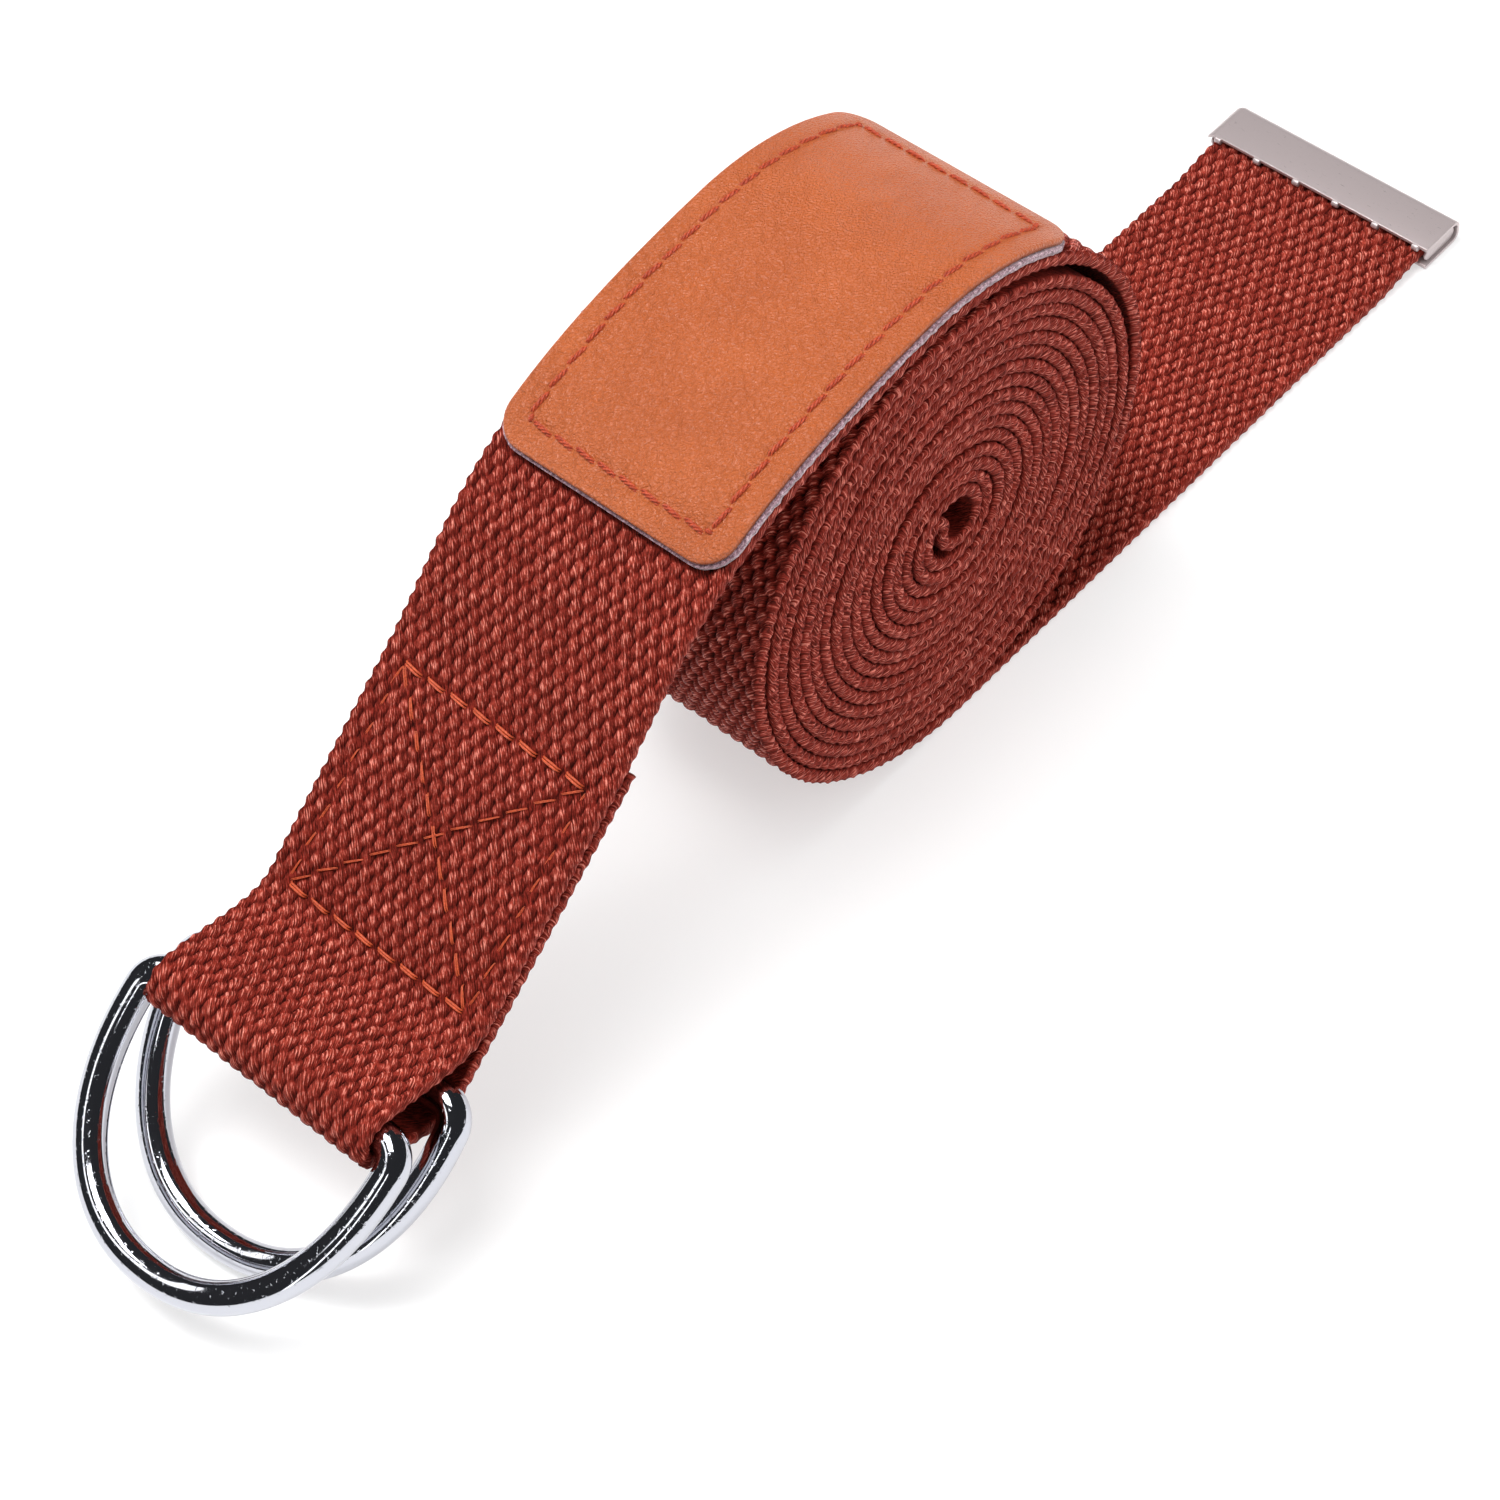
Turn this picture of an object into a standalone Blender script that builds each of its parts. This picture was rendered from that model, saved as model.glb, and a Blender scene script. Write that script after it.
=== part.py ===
"""Stretching strap: cotton webbing rolled into a standing coil, with two D-rings and an end clip.

World frame, metres: X runs along the strap (D-rings at -X, end clip at +X), Y is the coil's axis
and the webbing's width, Z is up. The origin is on the tail's flat underside, beside the coil's foot.
"""
import math

import bmesh
import bpy
from mathutils import Matrix, Vector

# Webbing
WEBBING_WIDTH = 0.0378
WEBBING_THICKNESS = 0.0018
HALF_WIDTH = WEBBING_WIDTH / 2
HALF_THICKNESS = WEBBING_THICKNESS / 2
PLY_GAP = 0.0003

# Coil: two arms wound together from the middle of the strap, slightly flattened by its weight
COIL_X = -0.003
COIL_RADIUS = 0.0379
CORE_RADIUS = 0.0055
LAYER_PITCH = 0.001989
COIL_FLATTENING = 0.97
RUN_LEAVES_AT = math.radians(95)
TAIL_LEAVES_AT = math.radians(-90)
STEPS_PER_TURN = 30
CORE_STEPS = 10
OUTER_LAYER_LIFT = 0.0013
LIFT_PEAK = math.radians(50)
LIFT_BEFORE_PEAK = math.radians(110)
LIFT_AFTER_PEAK = math.radians(90)

# Run from the coil's top to the D-rings: the sewn double ply is straight between two stitch lines
DOUBLE_PLY_SLOPE = math.radians(39.5)
STITCH_BOX_LENGTH = 0.0315
LOWER_STITCH_LINE = Vector((-0.0916, 0.0271))
RAW_END_LENGTH = 0.004
SLOPE_UPPER_HANDLE = 0.0429
SLOPE_LOWER_HANDLE = 0.0191
SHOULDER_UPPER_HANDLE = 0.005
SHOULDER_LOWER_HANDLE = 0.006
SHOULDER_ENDS_AT = math.radians(85)

# Facets of the run's curves
SLOPE_STEPS = 18
SHOULDER_STEPS = 8
UPPER_BAR_STEPS = 12
NEAR_BAR_STEPS = 3
FAR_BAR_STEPS = 5

# D-rings
WIRE_RADIUS = 0.0022
RING_HALF_WIDTH = 0.0216
RING_CORNER_RADIUS = 0.0032
RING_SIDE_LENGTH = 0.0034
RING_BOW_DEPTH = 0.0274
RING_BOW_EXPONENT = 2.18
RING_BOW_STEPS = 30
RING_CORNER_STEPS = 5
WIRE_FACET_LEVEL = 4
BAR_CLEARANCE = 0.00035
UPPER_BAR = Vector((-0.1091, 0.0238))
LOWER_BAR = Vector((-0.1009, 0.0212))
UPPER_RING_PITCH = math.radians(32.2)
LOWER_RING_PITCH = math.radians(38.0)
LOWER_RING_SKEW = math.radians(4)

# Label patch: a coated facing on a fibre backing, sewn over the coil's top
PATCH_START = -0.0289
PATCH_END = 0.0391
PATCH_WIDTH = 0.0366
PATCH_CORNER_RADIUS = 0.0045
PATCH_CORNER_ANGLES = (0, 22.5, 45, 67.5, 90)
BACKING_HEIGHTS = (0.0003, 0.0010)
FACING_HEIGHTS = (0.0012, 0.0020)
PATCH_SEAM_INSET = 0.0036

# Sewing thread
THREAD_WIDTH = 0.0005
THREAD_HEIGHT = 0.0003
THREAD_GAP = 0.0001
BOX_SEAM_INSET = 0.0035

# End clip: thin sheet folded over the strap's end
CLIP_START = 0.1013
CLIP_LENGTH = 0.0083
CLIP_WIDTH = 0.0398
CLIP_HEIGHT = 0.0040
CLIP_SHEET = 0.0006
CLIP_FOLD_RADIUS = 0.0016
CLIP_TAB_INSET = 0.0002
CLIP_TAB_THICKNESS = 0.0004
CLIP_TAB_SETBACK = 0.0010
CLIP_TAB_CLEARANCE = 0.00015
CLIP_FOLD_STEPS = 4
CLIP_TEETH = 6
TOOTH_SIZE = Vector((0.0008, 0.0009, 0.0007))
TOOTH_BITE = 0.0003
UPPER_TOOTH_RISE = 0.0004
TOOTH_OVERHANG = 0.00025
OUTER_TOOTH_INSET = 0.002
STRAP_END_CLEARANCE = 0.0012

# Tail: flat on the floor, then up into the middle of the clip
TAIL_LIFT_LENGTH = 0.010
TAIL_END_HEIGHT = CLIP_HEIGHT / 2
TAIL_LEVEL_BEFORE_CLIP = 0.001
TAIL_LIFT_STEPS = 6
TAIL_SHARES_TO_COIL = (0.66, 0.33, 0.05)

COLOURS = {
    "webbing": ((0.36, 0.055, 0.028), 0.9, 0.0),
    "chrome": ((0.72, 0.73, 0.75), 0.12, 1.0),
    "nickel": ((0.52, 0.49, 0.48), 0.3, 1.0),
    "facing": ((0.68, 0.21, 0.075), 0.45, 0.0),
    "backing": ((0.36, 0.24, 0.25), 0.9, 0.0),
    "label_thread": ((0.30, 0.035, 0.02), 0.8, 0.0),
    "box_thread": ((0.62, 0.13, 0.04), 0.7, 0.0),
}


# ---------------------------------------------------------------- helpers

def clear_scene():
    for old in list(bpy.data.objects):
        bpy.data.objects.remove(old, do_unlink=True)


def material(node_name, kind):
    colour, roughness, metallic = COLOURS[kind]
    made = bpy.data.materials.new(node_name + "_material")
    made.use_nodes = True
    shader = made.node_tree.nodes["Principled BSDF"]
    shader.inputs["Base Color"].default_value = (*colour, 1.0)
    shader.inputs["Roughness"].default_value = roughness
    shader.inputs["Metallic"].default_value = metallic
    return made


def add_object(name, data, kind):
    made = bpy.data.objects.new(name, data)
    bpy.context.scene.collection.objects.link(made)
    data.materials.append(material(name, kind))
    return made


def mesh_from(name, vertices, faces):
    mesh = bpy.data.meshes.new(name)
    work = bmesh.new()
    made = [work.verts.new(point) for point in vertices]
    for face in faces:
        work.faces.new([made[index] for index in face])
    bmesh.ops.recalc_face_normals(work, faces=work.faces)
    if work.calc_volume(signed=True) < 0:
        bmesh.ops.reverse_faces(work, faces=work.faces)
    work.to_mesh(mesh)
    work.free()
    return mesh


def box_mesh(name, low, high):
    mesh = bpy.data.meshes.new(name)
    work = bmesh.new()
    bmesh.ops.create_cube(work, size=1.0)
    size = high - low
    bmesh.ops.scale(work, vec=size, verts=work.verts)
    bmesh.ops.translate(work, vec=(low + high) / 2, verts=work.verts)
    work.to_mesh(mesh)
    work.free()
    return mesh


def direction(angle):
    return Vector((math.cos(angle), math.sin(angle)))


def arc(centre, radius, start, end, steps):
    """Points round a circle in the XZ plane, both ends included."""
    return [centre + radius * direction(start + (end - start) * i / steps) for i in range(steps + 1)]


def bezier(start, start_handle, end_handle, end, steps):
    """Points of a cubic curve, without its first one."""
    points = []
    for i in range(1, steps + 1):
        t = i / steps
        s = 1 - t
        points.append(s**3 * start + 3 * s * s * t * start_handle + 3 * s * t * t * end_handle + t**3 * end)
    return points


# ---------------------------------------------------------------- the webbing's centre line

def coil_centre():
    return Vector((COIL_X, tail_arm_radius(0.0) * COIL_FLATTENING + HALF_THICKNESS))


def spiral_radius(wound):
    """Both arms lose one layer pitch in each half turn, as the other arm lies between."""
    return COIL_RADIUS - LAYER_PITCH * wound / math.pi


def tail_arm_radius(wound):
    start_offset = RUN_LEAVES_AT - math.pi - TAIL_LEAVES_AT
    return spiral_radius(wound + start_offset)


def outer_layer_lift(wound):
    """The last half turn stands a little off the coil, most at LIFT_PEAK from where it leaves."""
    if wound > LIFT_PEAK + LIFT_AFTER_PEAK:
        return 0.0
    spread = LIFT_BEFORE_PEAK if wound < LIFT_PEAK else LIFT_AFTER_PEAK
    return OUTER_LAYER_LIFT * math.cos(math.pi / 2 * (wound - LIFT_PEAK) / spread) ** 2


def coil_point(angle, radius):
    flat = radius * direction(angle)
    return coil_centre() + Vector((flat.x, flat.y * COIL_FLATTENING))


def wound_angles(total):
    """Clockwise angles of an arm's points, on the same rays in every layer."""
    step = 2 * math.pi / STEPS_PER_TURN
    count = math.floor(total / step)
    return [i * step for i in range(count + 1)]


def coil_points():
    """From the tail at the coil's bottom, in to the core, and out to where the run leaves."""
    total = math.pi * (COIL_RADIUS - CORE_RADIUS) / LAYER_PITCH
    tail_arm = []
    run_arm = []
    for wound in wound_angles(total):
        tail_arm.append(coil_point(TAIL_LEAVES_AT - wound, tail_arm_radius(wound)))
        radius = spiral_radius(wound) + outer_layer_lift(wound)
        run_arm.append(coil_point(RUN_LEAVES_AT - wound, radius))
    centre = coil_centre()
    tail_side = (tail_arm[-1] - centre) / 2
    run_side = (run_arm[-1] - centre) / 2
    tail_angle = math.atan2(tail_side.y, tail_side.x)
    run_angle = math.atan2(run_side.y, run_side.x)
    into_core = arc(centre + tail_side, tail_side.length, tail_angle, tail_angle - math.pi, CORE_STEPS)
    turned = run_angle + math.pi * 3
    out_of_core = arc(centre + run_side, run_side.length, turned, turned + math.pi, CORE_STEPS)
    return tail_arm + into_core[1:-1] + [centre] + out_of_core[1:-1] + run_arm[::-1]


def tail_points():
    """From the end inside the clip, down to the floor and along it to the coil."""
    end = CLIP_START + CLIP_LENGTH - STRAP_END_CLEARANCE
    low = Vector((CLIP_START - TAIL_LIFT_LENGTH, HALF_THICKNESS))
    high = Vector((CLIP_START - TAIL_LEVEL_BEFORE_CLIP, TAIL_END_HEIGHT))
    third = Vector(((high.x - low.x) / 3, 0.0))
    points = [Vector((end, TAIL_END_HEIGHT)), high]
    points += bezier(high, high - third, low + third, low, TAIL_LIFT_STEPS)
    points += [Vector((low.x * share, HALF_THICKNESS)) for share in TAIL_SHARES_TO_COIL]
    return points


def double_ply_axes():
    along = direction(DOUBLE_PLY_SLOPE)
    normal = Vector((-along.y, along.x))
    return along, normal


def run_points(coil_end):
    """From the coil's top, down the double ply, round both bars and back under to the raw end."""
    along, normal = double_ply_axes()
    upper_low = LOWER_STITCH_LINE - normal * HALF_THICKNESS
    upper_high = upper_low + along * STITCH_BOX_LENGTH
    leaving = direction(RUN_LEAVES_AT + math.pi / 2)
    slope_start = coil_end + leaving * SLOPE_UPPER_HANDLE
    slope_end = upper_high + along * SLOPE_LOWER_HANDLE
    points = bezier(coil_end, slope_start, slope_end, upper_high, SLOPE_STEPS)
    points.append(upper_low)

    wrap = WIRE_RADIUS + BAR_CLEARANCE + HALF_THICKNESS
    bar_top = UPPER_BAR + wrap * direction(SHOULDER_ENDS_AT)
    arriving = direction(SHOULDER_ENDS_AT + math.pi / 2)
    shoulder_start = upper_low - along * SHOULDER_UPPER_HANDLE
    shoulder_end = bar_top - arriving * SHOULDER_LOWER_HANDLE
    points += bezier(upper_low, shoulder_start, shoulder_end, bar_top, SHOULDER_STEPS)

    reach = Vector((HALF_WIDTH * math.sin(LOWER_RING_SKEW), 0.0))
    near_end = LOWER_BAR - reach
    far_end = LOWER_BAR + reach
    drop = near_end - UPPER_BAR
    under = 1.5 * math.pi + math.atan2(drop.y, drop.x)
    level = 1.5 * math.pi
    points += arc(UPPER_BAR, wrap, SHOULDER_ENDS_AT, under, UPPER_BAR_STEPS)[1:]
    points += arc(near_end, wrap, under, level, NEAR_BAR_STEPS)
    points += arc(far_end, wrap, level, level + DOUBLE_PLY_SLOPE, FAR_BAR_STEPS)

    lower_low = LOWER_STITCH_LINE - normal * (HALF_THICKNESS * 3 + PLY_GAP)
    lower_high = lower_low + along * (STITCH_BOX_LENGTH + RAW_END_LENGTH)
    points += [lower_low, lower_high]
    return points


class Route:
    """A centre line with mitred normals, so that offsets of its facets stay parallel."""

    def __init__(self, points, start):
        self.points = points
        self.normals = [self.mitre(i) for i in range(len(points))]
        lengths = [0.0]
        for before, after in zip(points, points[1:]):
            lengths.append(lengths[-1] + (after - before).length)
        self.places = [length - lengths[start] for length in lengths]

    def mitre(self, i):
        """The outer side is on the right of the path, seen from -Y with Z up."""
        before = self.points[max(i, 1)] - self.points[max(i, 1) - 1]
        last = len(self.points) - 2
        after = self.points[min(i, last) + 1] - self.points[min(i, last)]
        first = Vector((before.y, -before.x)).normalized()
        second = Vector((after.y, -after.x)).normalized()
        middle = (first + second).normalized()
        return middle / middle.dot(first)

    def side(self, distance):
        return [point + normal * distance for point, normal in zip(self.points, self.normals)]

    def at(self, place, across, height):
        """World point at a place along the route, a width position and a height off the outer face."""
        i = 0
        while i < len(self.places) - 2 and self.places[i + 1] < place:
            i += 1
        share = (place - self.places[i]) / (self.places[i + 1] - self.places[i])
        offset = HALF_THICKNESS + height
        start = self.points[i] + self.normals[i] * offset
        end = self.points[i + 1] + self.normals[i + 1] * offset
        flat = start.lerp(end, share)
        return Vector((flat.x, across, flat.y))

    def places_between(self, start, end):
        inside = [place for place in self.places if start + THREAD_WIDTH < place < end - THREAD_WIDTH]
        return [start] + inside + [end]


def whole_route():
    coil = coil_points()
    start = tail_points()
    points = start + coil + run_points(coil[-1])
    return Route(points, len(start) + len(coil) - 1)


# ---------------------------------------------------------------- pieces

def make_webbing(route):
    outer = route.side(HALF_THICKNESS)
    inner = route.side(-HALF_THICKNESS)
    count = len(outer)
    vertices = []
    for across in (-HALF_WIDTH, HALF_WIDTH):
        vertices += [(point.x, across, point.y) for point in outer]
        vertices += [(point.x, across, point.y) for point in inner]
    front_outer, front_inner, back_outer, back_inner = 0, count, 2 * count, 3 * count
    loop = (front_outer, front_inner, back_inner, back_outer)
    faces = []
    for i in range(count - 1):
        for corner in range(4):
            first = loop[corner]
            second = loop[(corner + 1) % 4]
            faces.append((first + i, second + i, second + i + 1, first + i + 1))
    faces.append(loop)
    faces.append([base + count - 1 for base in loop])
    return add_object("webbing", mesh_from("webbing", vertices, faces), "webbing")


def ring_outline():
    """The wire's centre line in the ring's own plane: the bar on Y, the bow out along -X."""
    corner = RING_CORNER_RADIUS
    turn = RING_HALF_WIDTH - corner
    corner_arc = arc(Vector((-corner, turn)), corner, 0.0, math.pi / 2, RING_CORNER_STEPS)
    points = [Vector((0.0, 0.0))] + corner_arc
    power = 2 / RING_BOW_EXPONENT
    for i in range(RING_BOW_STEPS + 1):
        cosine = math.cos(math.pi * i / RING_BOW_STEPS)
        sine = math.sin(math.pi * i / RING_BOW_STEPS)
        across = RING_HALF_WIDTH * math.copysign(abs(cosine) ** power, cosine)
        out = RING_SIDE_LENGTH + RING_BOW_DEPTH * max(sine, 0.0) ** power
        points.append(Vector((-out, across)))
    points += [Vector((point.x, -point.y)) for point in reversed(corner_arc)]
    return points


def make_ring(name, bar, pitch, skew):
    curve = bpy.data.curves.new(name, "CURVE")
    curve.dimensions = "3D"
    curve.bevel_depth = WIRE_RADIUS
    curve.bevel_resolution = WIRE_FACET_LEVEL
    spline = curve.splines.new("POLY")
    outline = ring_outline()
    spline.points.add(len(outline) - 1)
    for point, place in zip(spline.points, outline):
        point.co = (place.x, place.y, 0.0, 1.0)
    spline.use_cyclic_u = True
    spline.use_smooth = True
    ring = add_object(name, curve, "chrome")
    turn = Matrix.Rotation(skew, 4, "Z") @ Matrix.Rotation(-pitch, 4, "Y")
    ring.matrix_world = Matrix.Translation((bar.x, 0.0, bar.y)) @ turn
    return ring


def patch_half_width(place):
    """Half the patch's width at a place along it, narrower in its rounded corners."""
    half = PATCH_WIDTH / 2
    radius = PATCH_CORNER_RADIUS
    from_end = min(place - PATCH_START, PATCH_END - place)
    if from_end >= radius:
        return half
    rest = radius - max(from_end, 0.0)
    return half - radius + math.sqrt(max(radius * radius - rest * rest, 0.0))


def patch_places(route):
    radius = PATCH_CORNER_RADIUS
    steps = [radius * (1 - math.cos(math.radians(angle))) for angle in PATCH_CORNER_ANGLES]
    near = [PATCH_START + step for step in steps]
    far = [PATCH_END - step for step in reversed(steps)]
    return near + route.places_between(near[-1], far[0])[1:-1] + far


def make_patch_layer(route, name, kind, heights):
    low, high = heights
    vertices = []
    for place in patch_places(route):
        half = patch_half_width(place)
        for across, height in ((-half, low), (-half, high), (half, high), (half, low)):
            vertices.append(route.at(place, across, height))
    sections = len(vertices) // 4
    faces = [(0, 1, 2, 3), tuple(len(vertices) - 4 + corner for corner in range(4))]
    for i in range(sections - 1):
        for corner in range(4):
            after = (corner + 1) % 4
            base = 4 * i
            faces.append((base + corner, base + after, base + 4 + after, base + 4 + corner))
    return add_object(name, mesh_from(name, vertices, faces), kind)


def seam_loop(route, inset):
    """Places and width positions round a rectangle inset from the patch's outline."""
    start = PATCH_START + inset
    end = PATCH_END - inset
    half = PATCH_WIDTH / 2 - inset
    places = route.places_between(start, end)
    return [(place, -half) for place in places] + [(place, half) for place in reversed(places)]


def make_label_thread(route, name, heights):
    """One continuous thread lying in a rectangle round the patch."""
    inset = PATCH_SEAM_INSET
    middle = seam_loop(route, inset)
    count = len(middle)
    half = THREAD_WIDTH / 2
    start = PATCH_START + inset
    end = PATCH_END - inset
    vertices = []
    for grow in (half, -half):
        for height in heights:
            for place, across in middle:
                wide = across + grow * math.copysign(1.0, across)
                shift = -grow if place == start else grow if place == end else 0.0
                vertices.append(route.at(place + shift, wide, height))
    outer_low, outer_high, inner_low, inner_high = 0, count, 2 * count, 3 * count
    loop = (outer_low, outer_high, inner_high, inner_low)
    faces = []
    for i in range(count):
        after = (i + 1) % count
        for corner in range(4):
            first = loop[corner]
            second = loop[(corner + 1) % 4]
            faces.append((first + i, second + i, second + after, first + after))
    return add_object(name, mesh_from(name, vertices, faces), "label_thread")


def crossing(first_point, first_way, second_point, second_way):
    """Where two lines of the plane meet."""
    cross = first_way.x * second_way.y - first_way.y * second_way.x
    gap = second_point - first_point
    share = (gap.x * second_way.y - gap.y * second_way.x) / cross
    return first_point + first_way * share


def box_seam_mesh(name, origin, along, normal, heights):
    """A flat network of thread: a rectangle with both of its diagonals, as one solid."""
    half_width = HALF_WIDTH - BOX_SEAM_INSET
    half_length = STITCH_BOX_LENGTH / 2
    corners = [Vector((x * half_length, y * half_width)) for x, y in ((-1, -1), (1, -1), (1, 1), (-1, 1))]
    half = THREAD_WIDTH / 2
    outline = [Vector((c.x + math.copysign(half, c.x), c.y + math.copysign(half, c.y))) for c in corners]
    windows = []
    for i in range(4):
        here = corners[i]
        after = corners[(i + 1) % 4]
        side = (after - here).normalized()
        inward = Vector((-side.y, side.x))
        base = here + inward * half
        left = -here.normalized()
        right = -after.normalized()
        left_edge = Vector((left.y, -left.x)) * half
        right_edge = Vector((-right.y, right.x)) * half
        near = crossing(base, side, left_edge, left)
        far = crossing(base, side, right_edge, right)
        tip = crossing(left_edge, left, right_edge, right)
        windows.append((near, far, tip))
    flat = outline + [point for window in windows for point in window]
    near = [4 + 3 * i for i in range(4)]
    far = [5 + 3 * i for i in range(4)]
    tip = [6 + 3 * i for i in range(4)]
    cells = [(i, (i + 1) % 4, far[i], near[i]) for i in range(4)]
    cells += [(i, near[i], tip[i], tip[i - 1], far[i - 1]) for i in range(4)]
    cells.append(tuple(tip))
    vertices = []
    for height in heights:
        for point in flat:
            place = origin + along * (half_length + point.x) + normal * height
            vertices.append((place.x, point.y, place.y))
    level = len(flat)
    faces = cells + [tuple(index + level for index in cell) for cell in cells]
    rims = [[0, 1, 2, 3]] + [[near[i], far[i], tip[i]] for i in range(4)]
    for rim in rims:
        for first, second in zip(rim, rim[1:] + rim[:1]):
            faces.append((first, second, second + level, first + level))
    return mesh_from(name, vertices, faces)


def make_box_threads():
    along, normal = double_ply_axes()
    top = LOWER_STITCH_LINE
    under = top - normal * (2 * WEBBING_THICKNESS + PLY_GAP)
    above = (THREAD_GAP, THREAD_GAP + THREAD_HEIGHT)
    below = (-THREAD_GAP - THREAD_HEIGHT, -THREAD_GAP)
    for name, origin, heights in (
        ("box_stitch_needle_thread", top, above),
        ("box_stitch_bobbin_thread", under, below),
    ):
        add_object(name, box_seam_mesh(name, origin, along, normal, heights), "box_thread")


def clip_profile():
    """The folded sheet's outline in the XZ plane, open towards the strap."""
    end = CLIP_START + CLIP_LENGTH
    outer = CLIP_FOLD_RADIUS
    inner = CLIP_FOLD_RADIUS - CLIP_SHEET
    quarter = math.pi / 2
    upper = Vector((end - outer, CLIP_HEIGHT - outer))
    lower = Vector((end - outer, outer))
    points = [Vector((CLIP_START, 0.0))]
    points += arc(lower, outer, -quarter, 0.0, CLIP_FOLD_STEPS)
    points += arc(upper, outer, 0.0, quarter, CLIP_FOLD_STEPS)
    points += [Vector((CLIP_START, CLIP_HEIGHT)), Vector((CLIP_START, CLIP_HEIGHT - CLIP_SHEET))]
    points += arc(upper, inner, quarter, 0.0, CLIP_FOLD_STEPS)
    points += arc(lower, inner, 0.0, -quarter, CLIP_FOLD_STEPS)
    points.append(Vector((CLIP_START, CLIP_SHEET)))
    return points


def clip_additions():
    """Boxes fused to the sheet: an end tab on each side, and the teeth of both jaws."""
    boxes = []
    end = CLIP_START + CLIP_LENGTH
    for side in (-1, 1):
        outside = CLIP_WIDTH / 2 - CLIP_TAB_INSET
        edges = sorted((side * outside, side * (outside - CLIP_TAB_THICKNESS)))
        low = Vector((CLIP_START + CLIP_TAB_SETBACK, edges[0], CLIP_SHEET + CLIP_TAB_CLEARANCE))
        high = Vector((end - CLIP_SHEET / 2, edges[1], CLIP_HEIGHT - CLIP_SHEET - CLIP_TAB_CLEARANCE))
        boxes.append((low, high))
    spacing = (WEBBING_WIDTH - 2 * OUTER_TOOTH_INSET) / (CLIP_TEETH - 1)
    for i in range(CLIP_TEETH):
        across = (i - (CLIP_TEETH - 1) / 2) * spacing
        for jaw in (0, 1):
            top = CLIP_HEIGHT - CLIP_SHEET + UPPER_TOOTH_RISE if jaw else CLIP_SHEET + TOOTH_BITE
            low = Vector((CLIP_START - TOOTH_OVERHANG, across - TOOTH_SIZE.y / 2, top - TOOTH_SIZE.z))
            boxes.append((low, low + TOOTH_SIZE))
    return boxes


def make_clip():
    profile = clip_profile()
    count = len(profile)
    vertices = []
    for across in (-CLIP_WIDTH / 2, CLIP_WIDTH / 2):
        vertices += [(point.x, across, point.y) for point in profile]
    faces = [tuple(range(count)), tuple(range(count, 2 * count))]
    for i in range(count):
        after = (i + 1) % count
        faces.append((i, after, after + count, i + count))
    clip = add_object("end_clip", mesh_from("end_clip", vertices, faces), "nickel")
    for number, (low, high) in enumerate(clip_additions()):
        name = "clip_addition_%d" % number
        addition = bpy.data.objects.new(name, box_mesh(name, low, high))
        bpy.context.scene.collection.objects.link(addition)
        addition.hide_render = True
        addition.display_type = "WIRE"
        union = clip.modifiers.new(name, "BOOLEAN")
        union.operation = "UNION"
        union.object = addition
    return clip


def main():
    clear_scene()
    route = whole_route()
    make_webbing(route)
    make_ring("d_ring_upper", UPPER_BAR, UPPER_RING_PITCH, 0.0)
    make_ring("d_ring_lower", LOWER_BAR, LOWER_RING_PITCH, LOWER_RING_SKEW)
    make_patch_layer(route, "label_patch_backing", "backing", BACKING_HEIGHTS)
    make_patch_layer(route, "label_patch_facing", "facing", FACING_HEIGHTS)
    on_patch = FACING_HEIGHTS[1] + THREAD_GAP
    make_label_thread(route, "label_stitch_needle_thread", (on_patch, on_patch + THREAD_HEIGHT))
    under_webbing = -WEBBING_THICKNESS - THREAD_GAP
    heights = (under_webbing - THREAD_HEIGHT, under_webbing)
    make_label_thread(route, "label_stitch_bobbin_thread", heights)
    make_box_threads()
    make_clip()


main()
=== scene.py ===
"""Looks for the stretching strap: woven webbing, leather label, sewing, chrome rings and nickel clip.

World frame, metres: X runs along the strap (D-rings at -X, end clip at +X), Y is the coil's axis
and the webbing's width, Z is up. The strap's centre line repeats the CAD model's formulas on a
finer step, so that every new piece lies where its solid does.
"""
import math

import bpy
import numpy as np
from mathutils import Matrix, Vector

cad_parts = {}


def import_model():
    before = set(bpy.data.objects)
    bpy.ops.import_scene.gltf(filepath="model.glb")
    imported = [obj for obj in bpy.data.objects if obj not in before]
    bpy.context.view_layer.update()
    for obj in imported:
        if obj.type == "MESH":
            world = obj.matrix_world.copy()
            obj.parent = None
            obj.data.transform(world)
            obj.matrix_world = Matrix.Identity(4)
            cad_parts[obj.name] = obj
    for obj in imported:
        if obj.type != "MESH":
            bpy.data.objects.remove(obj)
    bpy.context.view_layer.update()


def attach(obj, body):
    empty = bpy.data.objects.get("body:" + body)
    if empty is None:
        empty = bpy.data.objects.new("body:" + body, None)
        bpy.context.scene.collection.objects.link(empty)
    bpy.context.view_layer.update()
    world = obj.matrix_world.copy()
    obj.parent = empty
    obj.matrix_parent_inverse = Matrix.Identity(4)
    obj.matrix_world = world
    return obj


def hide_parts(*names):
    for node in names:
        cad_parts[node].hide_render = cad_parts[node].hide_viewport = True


MM = 0.001

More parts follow.
